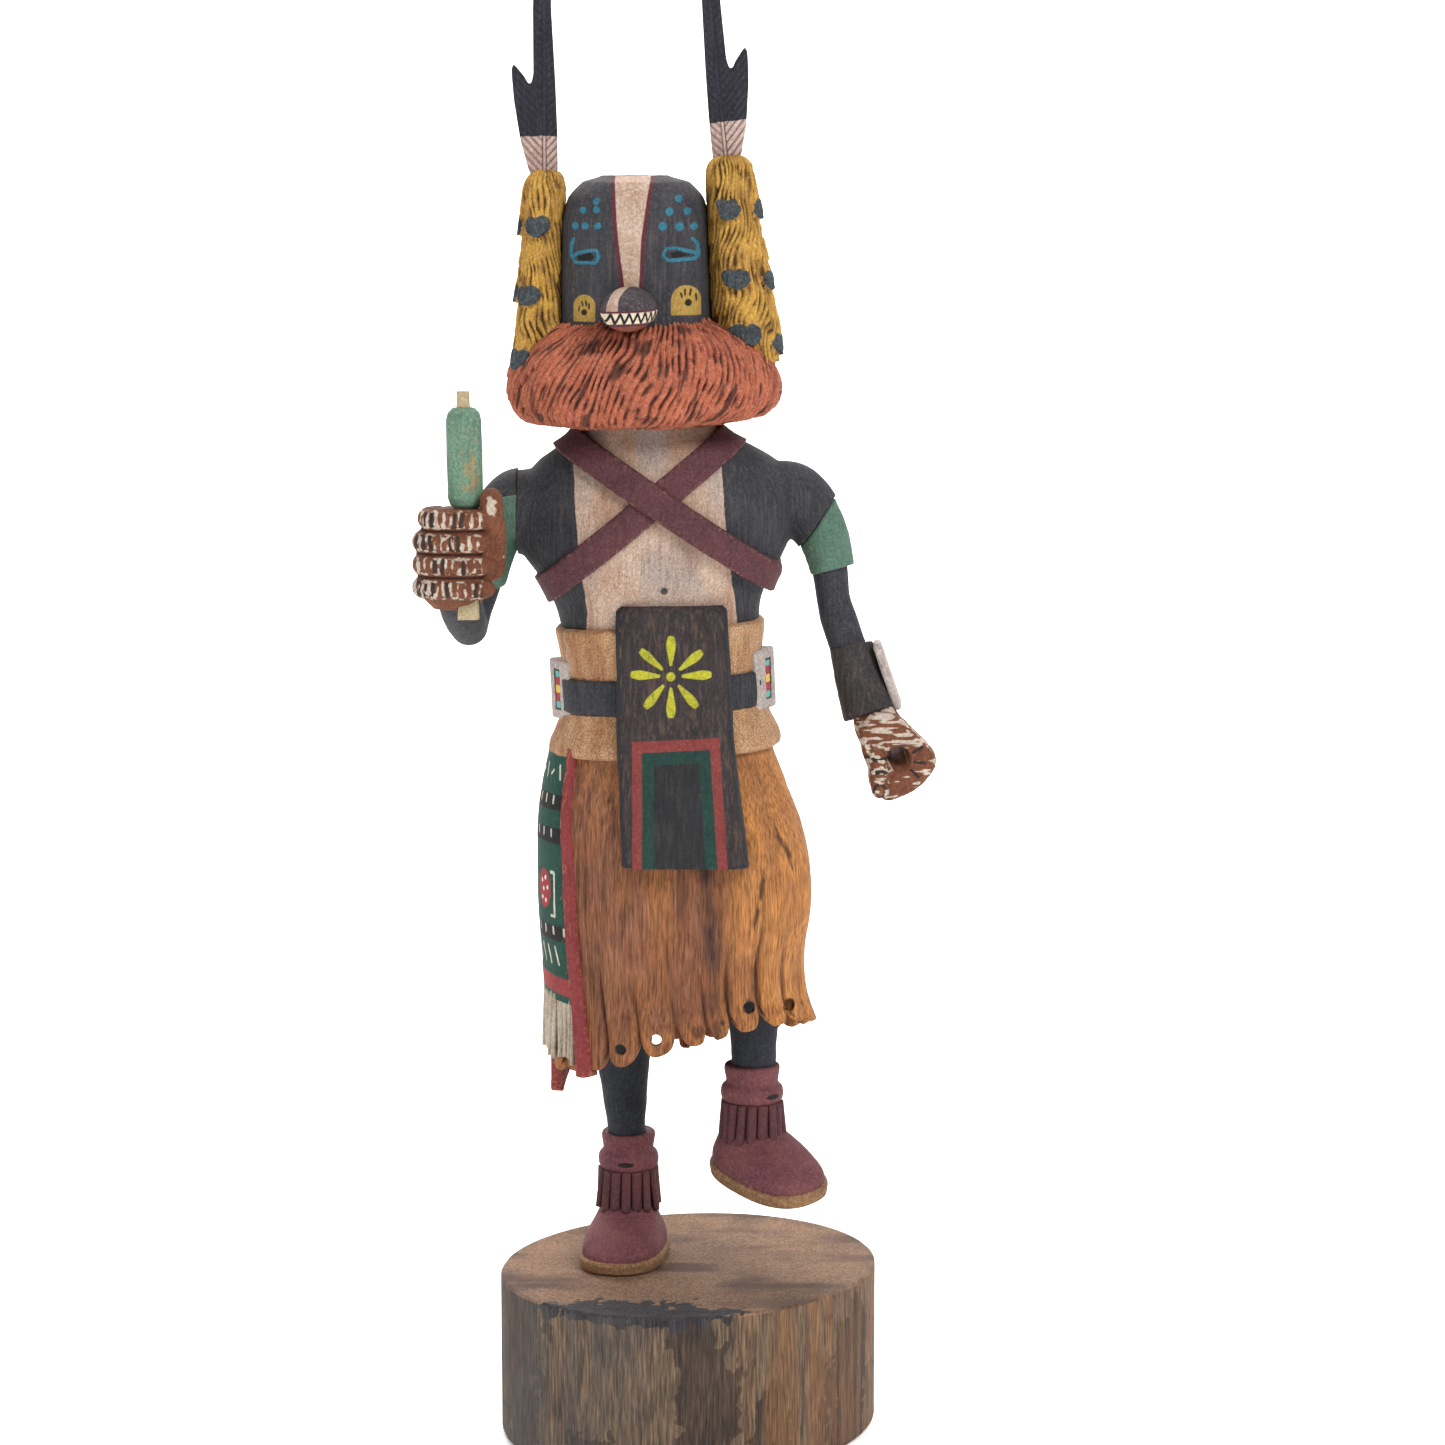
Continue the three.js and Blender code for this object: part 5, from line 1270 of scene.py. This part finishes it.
# Bunches of yellow feathers in carved wood: combed yellow over brown cuts, with slate tips
tuftPaint = paintedWood("yellow_ochre_paint", {
    "coat": ("#b38a38", "#a47937", "#7c542e", 0.45, "#c49e5a", 0.35), "shadeSize": 6, "grainSize": (0.5, 5),
    "wobble": 0.8, "layers": {"tips": ("#394044", "#2b3036", "#1d2024", 0.6, "#586062", 0.4)},
    "groove": ("#53361b", 0.28, 0.8, 0.9), "bump": 0.8, "washes": {"dim": ("#5c4019", 0.7)},
    "strands": (0.5, 5.0, 0.2), "mottle": 0.4,
})


def makeTuft(name, rows, lobes, turned, seed):
    # the lobes are feathers that overlap one another down the bunch
    z = np.linspace(rows[0][0], rows[-1][0], 230)[:, None]
    angle = evenAngles(rows, 210)[None, :]
    grid = onSkin(rows, angle, z, -0.5)
    around = runUp(np.linalg.norm(np.diff(grid[100], axis=0), axis=1))
    whole = around[-1] + around[1]
    across = np.append(np.broadcast_to(around, grid.shape[:2]).ravel(), [0, 0])
    piece = gridSolid(name, grid)
    p = spots(piece)
    pz = p[:, 2]
    facings = np.degrees(np.arctan2(grid[100, :, 1] / 13, (grid[100, :, 0] - grid[100, :, 0].mean()) / 7)) % 360
    raised, tips = np.zeros(len(p)), np.full(len(p), 9.0)
    for facing, foot, size in lobes:
        centre = around[np.argmin(np.abs((facings - facing + 180) % 360 - 180))]
        aside = (across - centre + whole / 2) % whole - whole / 2 + 0.5 * noiseAt(p, 3, seed)
        height = pz - foot
        rounded = np.sqrt(unit(1 - (np.clip(3.4 - height, 0, 3.4) / 3.4) ** 2))
        width = size * (1 + 0.02 * np.clip(height, 0, 16)) * rounded
        shape = np.where(height < 0, 9, np.abs(aside) - width)
        lobe = 1.6 * unit(-shape / 0.9) * unit(1 - height / 19) ** 0.8
        tip = (np.hypot(aside / (size + 0.3), (height - 2.9) / (3.3 - 0.9 * np.exp(-((aside / 0.8) ** 2)))) - 1) * 3
        tips = np.where(lobe > raised, np.maximum(shape, np.where(height < 2.9, shape, tip)), tips)
        raised = np.maximum(raised, lobe)
    push(piece, raised)
    down = rows[0][0] - pz
    lane = np.stack([across + 0.22 * turned * down, down * 0.16, down * 0], -1)
    mark(piece, across=across, along=down, fade=np.where(tips < 0, 0.45, 1.0), tips=tips,
         dim=unit(noiseAt(lane, 1.1, seed) * 3 - 0.9) * (tips > 0))
    return applyTree(piece, comb, {**tuftValues, "Slant": 0.22 * turned, "Seed": seed, "Material": tuftPaint})


tufts = {  # rows, lobes as [facing, foot, half width], way the cuts slant, seed
    "ear_tuft_left": (tuftLeftRows, [
        (258, 285.6, 3.5), (186, 286, 3.2), (80, 285, 3.5), (238, 267.4, 3.7), (180, 268, 3.3), (70, 263, 3.6),
        (236, 250.6, 3.6), (100, 250.5, 3.5), (30, 273, 3.3),
    ], -1, 5),
    "ear_tuft_right": (tuftRightRows, [
        (260, 290.2, 3.7), (338, 290.4, 3.3), (90, 291, 3.6), (262, 271.8, 3.8), (335, 271.4, 3.4), (95, 271, 3.6),
        (272, 257.4, 3.9), (338, 254.4, 3.6), (90, 255, 3.6), (150, 282, 3.2),
    ], 1, 8),
}
for name, values in tufts.items():
    dress(makeTuft(name, *values), None, *onDancer)
print("ruff and tufts made")


# Tall feathers

featherBlade = [(-1.8, -5), (-4.4, 0.78), (-6.5, 8.6), (-8.1, 18.7), (-8.6, 24.5), (-8.7, 27.4), (-8.2, 28.7),
                (-7.5, 28.2), (-5.2, 25.4), (-4.1, 23.4), (-3.4, 23.7), (-2.9, 26.2), (-2.9, 42.9), (-2.3, 62.4),
                (-1.1, 74.1), (0.2, 78), (1.2, 73.3), (1.9, 62.4), (2.1, 42.9), (3.1, 23.4), (3.5, 11.7), (3.6, 0.78),
                (1.8, -5)]
feather = {"thickness": 2.4, "barb": 2.2, "barbDepth": 0.3, "whiteFoot": 9.5}
featherTip = max(z for _, z in featherBlade)


def makeFeather(name, foot, lean, outer):
    outline = [(-outer * x, z) for x, z in featherBlade]
    half = feather["thickness"] / 2
    front = [(x, -half, z) for x, z in outline]
    back = [(x, half, z) for x, z in outline]
    count = len(outline)
    faces = [list(range(count)), list(range(count, 2 * count))[::-1]]
    faces += [[k, k + count, (k + 1) % count + count, (k + 1) % count] for k in range(count)]
    piece = toMesh(name, front + back, faces, 0)
    outwards(piece)
    blend(piece, 0.32, 5)
    local = spots(piece) + [0, 0, logHeight]
    shaft = np.interp(local[:, 2], [0, featherTip], [0, -outer * 0.2])
    aside = np.abs(local[:, 0] - shaft)
    barb = (local[:, 2] - 1.1 * aside) / feather["barb"]
    groove = np.where(aside > 0.5, unit(1 - np.abs(2 * (barb % 1) - 1) / 0.5), 0.0)
    groove = np.maximum(groove, unit(1 - np.abs(aside - 0.5) / 0.3))
    face = np.abs(local[:, 1]) > half - 0.5
    push(piece, np.where(face, -feather["barbDepth"] * groove, 0) - 0.05)
    c, n = math.cos(lean), math.sin(lean)
    x, y, z = (spots(piece) + [0, 0, logHeight]).T
    stood = np.stack([c * x + n * z + foot[0], y + foot[1], c * z - n * x + foot[2] + logHeight], -1) / 1000
    piece.data.vertices.foreach_set("co", stood.ravel())
    piece.data.update()
    base = local[:, 2] - feather["whiteFoot"] - 0.3 * noiseAt(local, 1.2, 9)
    mark(piece, base=base, barbInBase=np.where(face & (base < 0), groove, 0),
         barbInBlack=np.where(face & (base > 0), groove, 0))
    return piece


# Eagle feathers in carved wood: black above a pinkish-white foot, with cut barbs
featherPaint = paintedWood("black_feather_paint", {
    "coat": ("#25252d", "#1c1d24", "#363336", 0.3, "#3c3c47", 0.3), "wobble": 0.3,
    "washes": {"barbInBase": ("#4c352e", 0.95), "barbInBlack": ("#15151a", 0.6)},
    "layers": {"base": ("#b49d94", "#a58980", "#7e5f57", 0.35, "#c1b3ac", 0.3)},
})
dress(makeFeather("tall_feather_left_carved", (-38.3, 0, 303), 0, -1), featherPaint, "feather_paint",
      "tall_feather_left")
dress(makeFeather("tall_feather_right_carved", (10.3, 0, 306.8), turn(-6), 1), featherPaint, "feather_paint",
      "tall_feather_right")
print("feathers made")


# Arms and hands

# Painted arm: matt black, worn to brown on its high places
armPaint = paintedWood("worn_black_paint", {"coat": blackCoat, "wear": edgeWear})
# Armband: matt sea green, rubbed to ochre at its edges
greenPaint = paintedWood("sea_green_paint", {
    "coat": ("#4c685a", "#425d4f", "#364e44", 0.3, "#627668", 0.35), "wear": ("#a8793c", 0.635, 0.45),
})
# Whited hands: red-brown skin under dry-brushed white, with dark bars and painted shade in the creases and the grip
# hole
handPaint = paintedWood("dry_brushed_red_brown_paint", {
    "coat": ("#6b402a", "#5a3323", "#3d221b", 0.45, "#7f523b", 0.35), "wobble": 0.3, "shadeSize": 3.5,
    "layers": {
        "bar": ("#2a2320", "#221c1a", "#40302a", 0.3, "#3a2c26", 0.3),
        "chalk": ("#b3a79b", "#9b8876", "#7f5740", 0.6, "#c6beb3", 0.4), "crease": "#331b13",
    },
    "bump": 0.5,
})

upperRaised = limb([[-40, 1, 211.6, 11.6], [-46.5, 1, 212, 11.2], [-51.8, 1, 208.5, 8], [-54.8, 0.6, 200, 6.6],
                    [-58.2, -1.2, 188, 5.8], [-59.6, -4, 181, 5.2]], 60, 12, wide=yWide)
foreRaised = limb([[-59.6, -4, 180.8, 5.2], [-60.2, -12, 184.5, 5.6], [-60.8, -21, 191, 6.2], [-60.8, -28, 199, 7]],
                  60, 12)
raisedArm = carve("raised_arm_skin", upperRaised, foreRaised, voxel=0.5)
cut(raisedArm, box("inside", joint["block"], (joint["raisedX"] + 30, 1, 211.5)))
roughen(raisedArm, (0.15, 5, 91))
dress(raisedArm, armPaint, *onRaisedArm)


def makeBand(name, stations, cutter=None, slab=None):
    piece = gridSolid(name, limb(stations, 90, 24, domed=False, wide=yWide))
    if slab is not None:
        cut(piece, slab, "INTERSECT")
    if cutter is not None:
        cut(piece, cutter)
    blend(piece, 0.4, 4)
    roughen(piece, (0.12, 3, 95), (0.08, 1.2, 96))
    return piece


bandPath = [[-40, 1, 211.6, 12.1], [-46.5, 1, 212, 11.7], [-51.8, 1, 208.5, 8.7], [-54.8, 0.6, 200, 7.4],
            [-58.2, -1.2, 188, 7]]
bandRaised = makeBand("armband_raised", bandPath, box("inside", joint["block"], (joint["raisedX"] + 30.2, 1, 211.5)),
                      box("slab", (60, 60, 24), (-54, 0, 203), lean=turn(-14)))
dress(bandRaised, greenPaint, *onRaisedArm)

palmRows = [
    [189.4, -61.4, -33, 5.5, 5, 2.6], [192, -61.4, -33, 8, 7.2, 2.8], [197, -61, -33, 9.7, 8.2, 2.8],
    [202, -60.6, -33, 10.7, 8.4, 2.8], [208, -60, -33, 10.8, 8.4, 2.8], [214, -58.9, -33, 9.8, 8, 2.8],
    [216, -58.6, -33, 7.6, 6, 2.6],
]
fist = {"pitch": 6.1, "topFinger": 213.6, "cell": 1.9, "nail": (-51, 217, 1.5, 2.6)}
fingers = []
for i in range(4):
    z = fist["topFinger"] - i * fist["pitch"]
    knuckle = -69.3 if i else -67.6
    fingers.append(limb([[knuckle + 2, -31, z, 2.9], [knuckle, -36, z, 3], [-66, -40.2, z, 3], [-60, -41.6, z, 3],
                         [-54.9, -41.2, z, 2.8], [-52.6, -39, z, 2.4]], 40, 12, wide=zWide))
thumb = limb([[-51.2, -33, 200, 3.2], [-50.4, -37.4, 208.5, 3.1], [-50.9, -40, 215, 3.1],
              [-51, -40.8, 219, 3]], 40, 14)
raisedFist = carve("raised_fist", loft(palmRows, 0.8, 90), thumb, *fingers, voxel=0.32, smooth=4)

handle = {"foot": (-57.5, -35.8, 186.9), "lean": -0.9, "widthFoot": 5.5, "widthTop": 3.3, "top": 246.8}


def onHandle(z):
    return handle["foot"][0] + (z - handle["foot"][2]) * math.tan(turn(handle["lean"]))


def handleGrid(grow):
    rings = []
    for z in np.linspace(handle["foot"][2] - grow, handle["top"] + grow, 40):
        t = (z - handle["foot"][2]) / (handle["top"] - handle["foot"][2])
        half = (handle["widthFoot"] + (handle["widthTop"] - handle["widthFoot"]) * t) / 2 + grow
        angle = np.arange(32) / 32 * 2 * math.pi
        rings.append(np.stack([onHandle(z) + half * bulge(np.cos(angle), 9),
                               handle["foot"][1] + half * bulge(np.sin(angle), 9), np.full(32, z)], -1))
    return np.array(rings)


gourd = {"foot": 216, "length": 26.8, "radius": 4.7, "handleRoom": 0.3, "rubbed": (-56.4, 229, 2.4, 8.5)}
gourdProfile = [(0.02, 0), (0.62, 0), (0.88, 0.04), (1, 0.11), (1.0, 0.3), (1, 0.5), (1, 0.87), (0.9, 0.94),
                (0.62, 0.99), (0.02, 1)]


def gourdGrid(grow):
    r, t = np.array(gourdProfile).T
    fine = np.linspace(0, 1, 90)
    run = runUp(np.hypot(np.diff(r) * gourd["radius"], np.diff(t) * gourd["length"]))
    r, t = np.interp(fine * run[-1], run, r), np.interp(fine * run[-1], run, t)
    angle = np.arange(72) / 72 * 2 * math.pi
    z = gourd["foot"] - grow + t * (gourd["length"] + 2 * grow)
    radius = r * gourd["radius"] + grow
    x = onHandle(z)
    return np.stack([x[:, None] + radius[:, None] * np.cos(angle),
                     handle["foot"][1] + radius[:, None] * np.sin(angle), np.repeat(z[:, None], 72, 1)], -1)


cut(raisedFist, gridSolid("handle_room", handleGrid(gourd["handleRoom"])))
cut(raisedFist, gridSolid("gourd_room", gourdGrid(gourd["handleRoom"])))
p = spots(raisedFist)
px, py, pz = p.T
roughen(raisedFist, (0.1, 2.5, 97))
level = (fist["topFinger"] + 3.1 - pz) / fist["pitch"]
inFinger = np.abs(level % 1 - 0.5)
row = np.floor(level)
onFingers = (px < -53.2) & (py < -34) & (level > 0) & (level < 4)
dash = (px + 70) / fist["cell"] + 0.37 * row + 0.25 * noiseAt(p, 3, 98)
ragged = 0.6 * noiseAt(p * [1, 1, 0.5], 0.9, 100) + 0.5 * noiseAt(p * [1, 1, 0.4], 0.45, 112)
stroke = np.maximum((np.abs(dash % 1 - 0.5) - 0.17) * fist["cell"], (inFinger - 0.34) * fist["pitch"])
rims = (np.abs(inFinger - 0.35) - 0.025) * fist["pitch"] + 0.6 * noiseAt(p, 1.2, 99) + 0.2
lot = np.sin((np.floor(dash + 0.5) + 9 * row) * 12.9) * 43758
darkCell = np.where(lot % 1 > 0.45,
                    np.maximum((np.abs((dash + 0.5) % 1 - 0.5) - 0.27) * fist["cell"],
                               (inFinger - 0.33) * fist["pitch"]), 9)
chalk = np.minimum(stroke + ragged + 0.12, rims)
thumbNail = oval(px, pz, *fist["nail"]) + 0.5 * noiseAt(p, 1.1, 111)
# painted shade: dark lines in the creases between the fingers
mark(raisedFist, chalk=np.where(onFingers, chalk,
                                np.minimum(np.where(py < -41, thumbNail * 1.4, 9), 2.6 - 3 * noiseAt(p, 2.4, 101))),
     bar=np.where(onFingers, darkCell, 9), crease=np.where(onFingers, (0.45 - inFinger) * 5, 9))
dress(raisedFist, handPaint, *onRaisedArm)

# Gourd: a lighter sea green, with a broken ochre strip down its front
gourdPaint = paintedWood("light_sea_green_paint", {
    "coat": ("#5f7d69", "#52705e", "#466051", 0.3, "#7c9079", 0.45), "washes": {"rub": ("#a07240", 0.75)},
})
rattle = gridSolid("gourd", gourdGrid(0))
cut(rattle, gridSolid("handle_room", handleGrid(gourd["handleRoom"])))
p = spots(rattle)
px, py, pz = p.T
roughen(rattle, (0.1, 4, 102))
# an ochre strip down the front of the gourd, broken by noise
rub = oval(px, pz, *gourd["rubbed"]) + 0.5 * noiseAt(p, 3, 103)
mark(rattle, rub=np.where(py < -36, unit(-2 * rub) * unit(0.35 + 0.9 * noiseAt(p * [1, 1, 0.6], 0.9, 110)), 0))
dress(rattle, gourdPaint, "gourd_paint", "rattle_gourd")
stick = gridSolid("handle", handleGrid(0))
roughen(stick, (0.05, 2, 104))
# Whittled stick, left bare: pale and fibrous
stickWood = paintedWood("bare_whittled_wood", {
    "coat": ("#a99979", "#9a8867", "#7e6c4e", 0.5, "#bcaf93", 0.4), "grainSize": (0.5, 9), "bump": 0.5,
})
dress(stick, stickWood, "handle_wood", "rattle_handle")

lean, inner = turn(joint["lean"]), besideJoint(joint["gap"] - 30)
upperLowered = limb([[35, 1, 212, 5.4], [38.4, 0, 197, 4.9], [39.6, -0.6, 188, 4.6], [41.2, -1.4, 182, 4.9],
                     [44.2, -3.2, 173, 5]], 60, 14, wide=yWide)
lowered = gridSolid("lowered_arm_skin", upperLowered)
cut(lowered, box("inside", joint["leaningBlock"], inner, lean=lean))
roughen(lowered, (0.12, 4, 105))
dress(lowered, armPaint, *onLoweredArm)
bandLowered = makeBand("armband_lowered", [[33.4, 1, 214.5, 6.4], [37, 0.6, 205, 6.8], [39.4, 0, 196, 6.1]],
                       box("inside", joint["leaningBlock"], inner, lean=lean))
dress(bandLowered, greenPaint, *onLoweredArm)
cuff = makeBand("cuff", [[44.4, -3.4, 175.6, 6.0], [46.4, -4.8, 167, 6.5], [49.6, -6.6, 157.2, 7.5]])
# Leather cuff in carved wood: brown-black
cuffPaint = paintedWood("brown_black_cuff_paint", {
    "coat": ("#332f31", "#2a282a", "#524239", 0.4, "#46403e", 0.3), "wear": ("#7a5638", 0.63, 0.4),
})
dress(cuff, cuffPaint, *onLoweredArm)
cuffPlate = box("cuff_plate", (2.2, 10, 19.0), (54.2, -5.4, 167.8), yaw=turn(-3), lean=turn(-19))
cuffPlate.modifiers.new("bevel", "BEVEL").width = 0.0006
blend(cuffPlate, 0.3, 0)
roughen(cuffPlate, (0.06, 1.5, 106))
mark(cuffPlate, **dict.fromkeys(("inlay", "red", "yellow", "blue"), 9.0))  # no stones on it
dress(cuffPlate, platePaint, *onLoweredArm)

grip = {"x": 57, "z": 146.5, "mouth": -18.6, "radius": 3.4, "slantX": -0.2, "slantZ": 0.36}


def gripAt(y):
    # the slanted hole through the closed hand: its middle and radius at that depth
    depth = y - grip["mouth"]
    return [grip["x"] + grip["slantX"] * depth, y, grip["z"] + grip["slantZ"] * depth, grip["radius"]]


handOutline = [[46.2, 155], [46.8, 149], [48.8, 143.3], [49.4, 138.6], [53.1, 135], [57.1, 135.6], [62.7, 138.6],
               [66.8, 144], [66.6, 147.6], [61.4, 153.4], [56, 158], [50, 158.4], [46.2, 155]]
# the closed hand's edge, back to front: [y, how far in from the outline]
handEdge = ((-5.0, 2.6), (-5.5, 1.2), (-6.6, 0.2), (-8, 0), (-12, 0), (-16, 0), (-17.4, 0.3), (-18.3, 1.2),
            (-18.6, 2.4))
loweredNail = (51.8, 138.2, 1.5, 2.0)


def makeLoweredHand():
    edge = spline(handOutline, 140)[:-1]
    middle = np.array([56.5, 147.0])
    rings = []
    for y, inset in handEdge:
        away = edge - middle
        length = np.linalg.norm(away, axis=1)[:, None]
        ring = middle + away * (length - inset) / length
        rings.append(np.stack([ring[:, 0], np.full(len(ring), y), ring[:, 1]], -1))
    thumbGrid = limb([[50.8, -15, 152, 2.4], [51.3, -18.4, 146.5, 2.4], [51.8, -19, 138.4, 2.4]], 40, 12)
    wrist = limb([[49.6, -6.6, 160, 5], [51.4, -8.6, 155, 6.4, 0.85], [54, -10.6, 149.6, 6.6, 0.85]], 50, 12,
                 wide=yWide)
    piece = carve("lowered_hand", np.array(rings), thumbGrid, wrist, voxel=0.32, smooth=4)
    cut(piece, gridSolid("grip", limb([gripAt(12), gripAt(-34)], 40, 2, domed=False)))
    p = spots(piece)
    px, py, pz = p.T
    away = p[:, [0, 2]] - [grip["x"], grip["z"]]
    way, far = np.degrees(np.arctan2(away[:, 1], away[:, 0])), np.linalg.norm(away, axis=1)
    knuckles = np.abs(((way + 100) % 26) / 26 - 0.5)
    grooves = (far > 4) & (way > -120) & (way < 20)
    push(piece, 0.1 * noiseAt(p, 2.5, 107) - np.where(grooves & (py > -17), 0.35 * unit(1 - knuckles * 7), 0))
    front = py < -14
    radial = np.min([np.maximum(np.abs((way - a + 180) % 360 - 180) * far * 0.01745 - 0.4, within(far, 3.8, 7.4))
                     for a in (28, -8, -42)], axis=0)
    onThumb = (px < 54.4) & (py < -16.5) & (pz < 151)
    barsAcross = np.min([np.abs(pz - z) - 0.6 for z in (146.8, 143.4)], axis=0)
    nail = np.abs(oval(px, pz, *loweredNail)) * 1.6 - 0.35
    chalk = 0.7 - 1.7 * noiseAt(p * [0.3, 0.5, 1.7], 1.5, 108) - 1.7 * noiseAt(p * [0.25, 0.5, 1.8], 0.7, 113)
    chalk = np.where(pz > 150, chalk - 0.5, chalk)
    chalk = np.where(onThumb, 0.25 - 1.8 * noiseAt(p, 1.3, 109) - 1.5 * noiseAt(p * [0.4, 1, 1.4], 0.6, 114), chalk)
    x, _, z, radius = gripAt(py)
    # painted shade: the inside wall of the grip hole darkened
    hollow = np.maximum(np.hypot(px - x, pz - z) - radius - 0.25, -18.0 - py)
    mark(piece, chalk=chalk, crease=hollow,
         bar=np.minimum(np.where(front & ~onThumb, radial, 9), np.where(onThumb, np.minimum(barsAcross, nail), 9)))
    return piece


dress(makeLoweredHand(), handPaint, *onLoweredArm)
print("arms and hands made")


# Floor, light and camera

sweep = {"front": -3.0, "bendFrom": 0.9, "radius": 0.7, "height": 3.5, "halfWidth": 4}
bend = [(sweep["bendFrom"] + sweep["radius"] * math.sin(a), sweep["radius"] * (1 - math.cos(a)))
        for a in np.linspace(0, math.pi / 2, 17)]
profile = [(sweep["front"], 0.0)] + bend + [(sweep["bendFrom"] + sweep["radius"], sweep["height"])]
floorData = bpy.data.meshes.new("floor")
floorData.from_pydata([(x, y, z) for y, z in profile for x in (-sweep["halfWidth"], sweep["halfWidth"])], [],
                      [(2 * i, 2 * i + 1, 2 * i + 3, 2 * i + 2) for i in range(len(profile) - 1)])
floorData.polygons.foreach_set("use_smooth", np.ones(len(floorData.polygons), bool))
floor = bpy.data.objects.new("floor", floorData)
bpy.context.scene.collection.objects.link(floor)
paper = bpy.data.materials.new("pale_paper")
paper.use_nodes = True
for socket, value in (("Base Color", linear("#fbfaf8")), ("Roughness", 0.9),
                      ("Emission Color", linear("#ffffff")), ("Emission Strength", 0.22)):
    paper.node_tree.nodes["Principled BSDF"].inputs[socket].default_value = value
floorData.materials.append(paper)

bpy.context.scene.view_settings.view_transform = "Standard"  # colours as painted, on white paper
world = bpy.data.worlds.new("studio")
bpy.context.scene.world = world
world.use_nodes = True
studio = {
    "key": {"at": (1.0, -1.3, 1.5), "to": (0, 0, 0.22), "size": 0.7, "power": 30},
    "fill": {"at": (-1.3, -1.0, 0.7), "to": (0, 0, 0.22), "size": 1.2, "power": 8},
    "rim": {"at": (-0.4, 1.0, 1.3), "to": (0, 0, 0.25), "size": 0.8, "power": 10},
    "backdrop": {"at": (0, 0.7, 1.9), "to": (0, 1.5, 0.5), "size": 1.4, "power": 30},
}
world.node_tree.nodes["Background"].inputs["Color"].default_value = linear("#ffffff")
world.node_tree.nodes["Background"].inputs["Strength"].default_value = 0.45
for name, light in studio.items():
    data = bpy.data.lights.new(name, "AREA")
    data.energy, data.size = light["power"], light["size"]
    lamp = bpy.data.objects.new(name, data)
    lamp.location = light["at"]
    lamp.rotation_euler = (Vector(light["to"]) - Vector(light["at"])).to_track_quat("-Z", "Y").to_euler()
    bpy.context.scene.collection.objects.link(lamp)

# solved from the ellipse of the log's top
view = {"at": (0.00938, -1.05, 0.361), "down": 8.73, "lens": 96.6, "sensor": 36}
lens = bpy.data.cameras.new("camera")
lens.lens, lens.sensor_width = view["lens"], view["sensor"]
camera = bpy.data.objects.new("camera", lens)
camera.location = view["at"]
camera.rotation_euler = (turn(90 - view["down"]), 0, 0)
bpy.context.scene.collection.objects.link(camera)
bpy.context.scene.camera = camera

print("scene made")
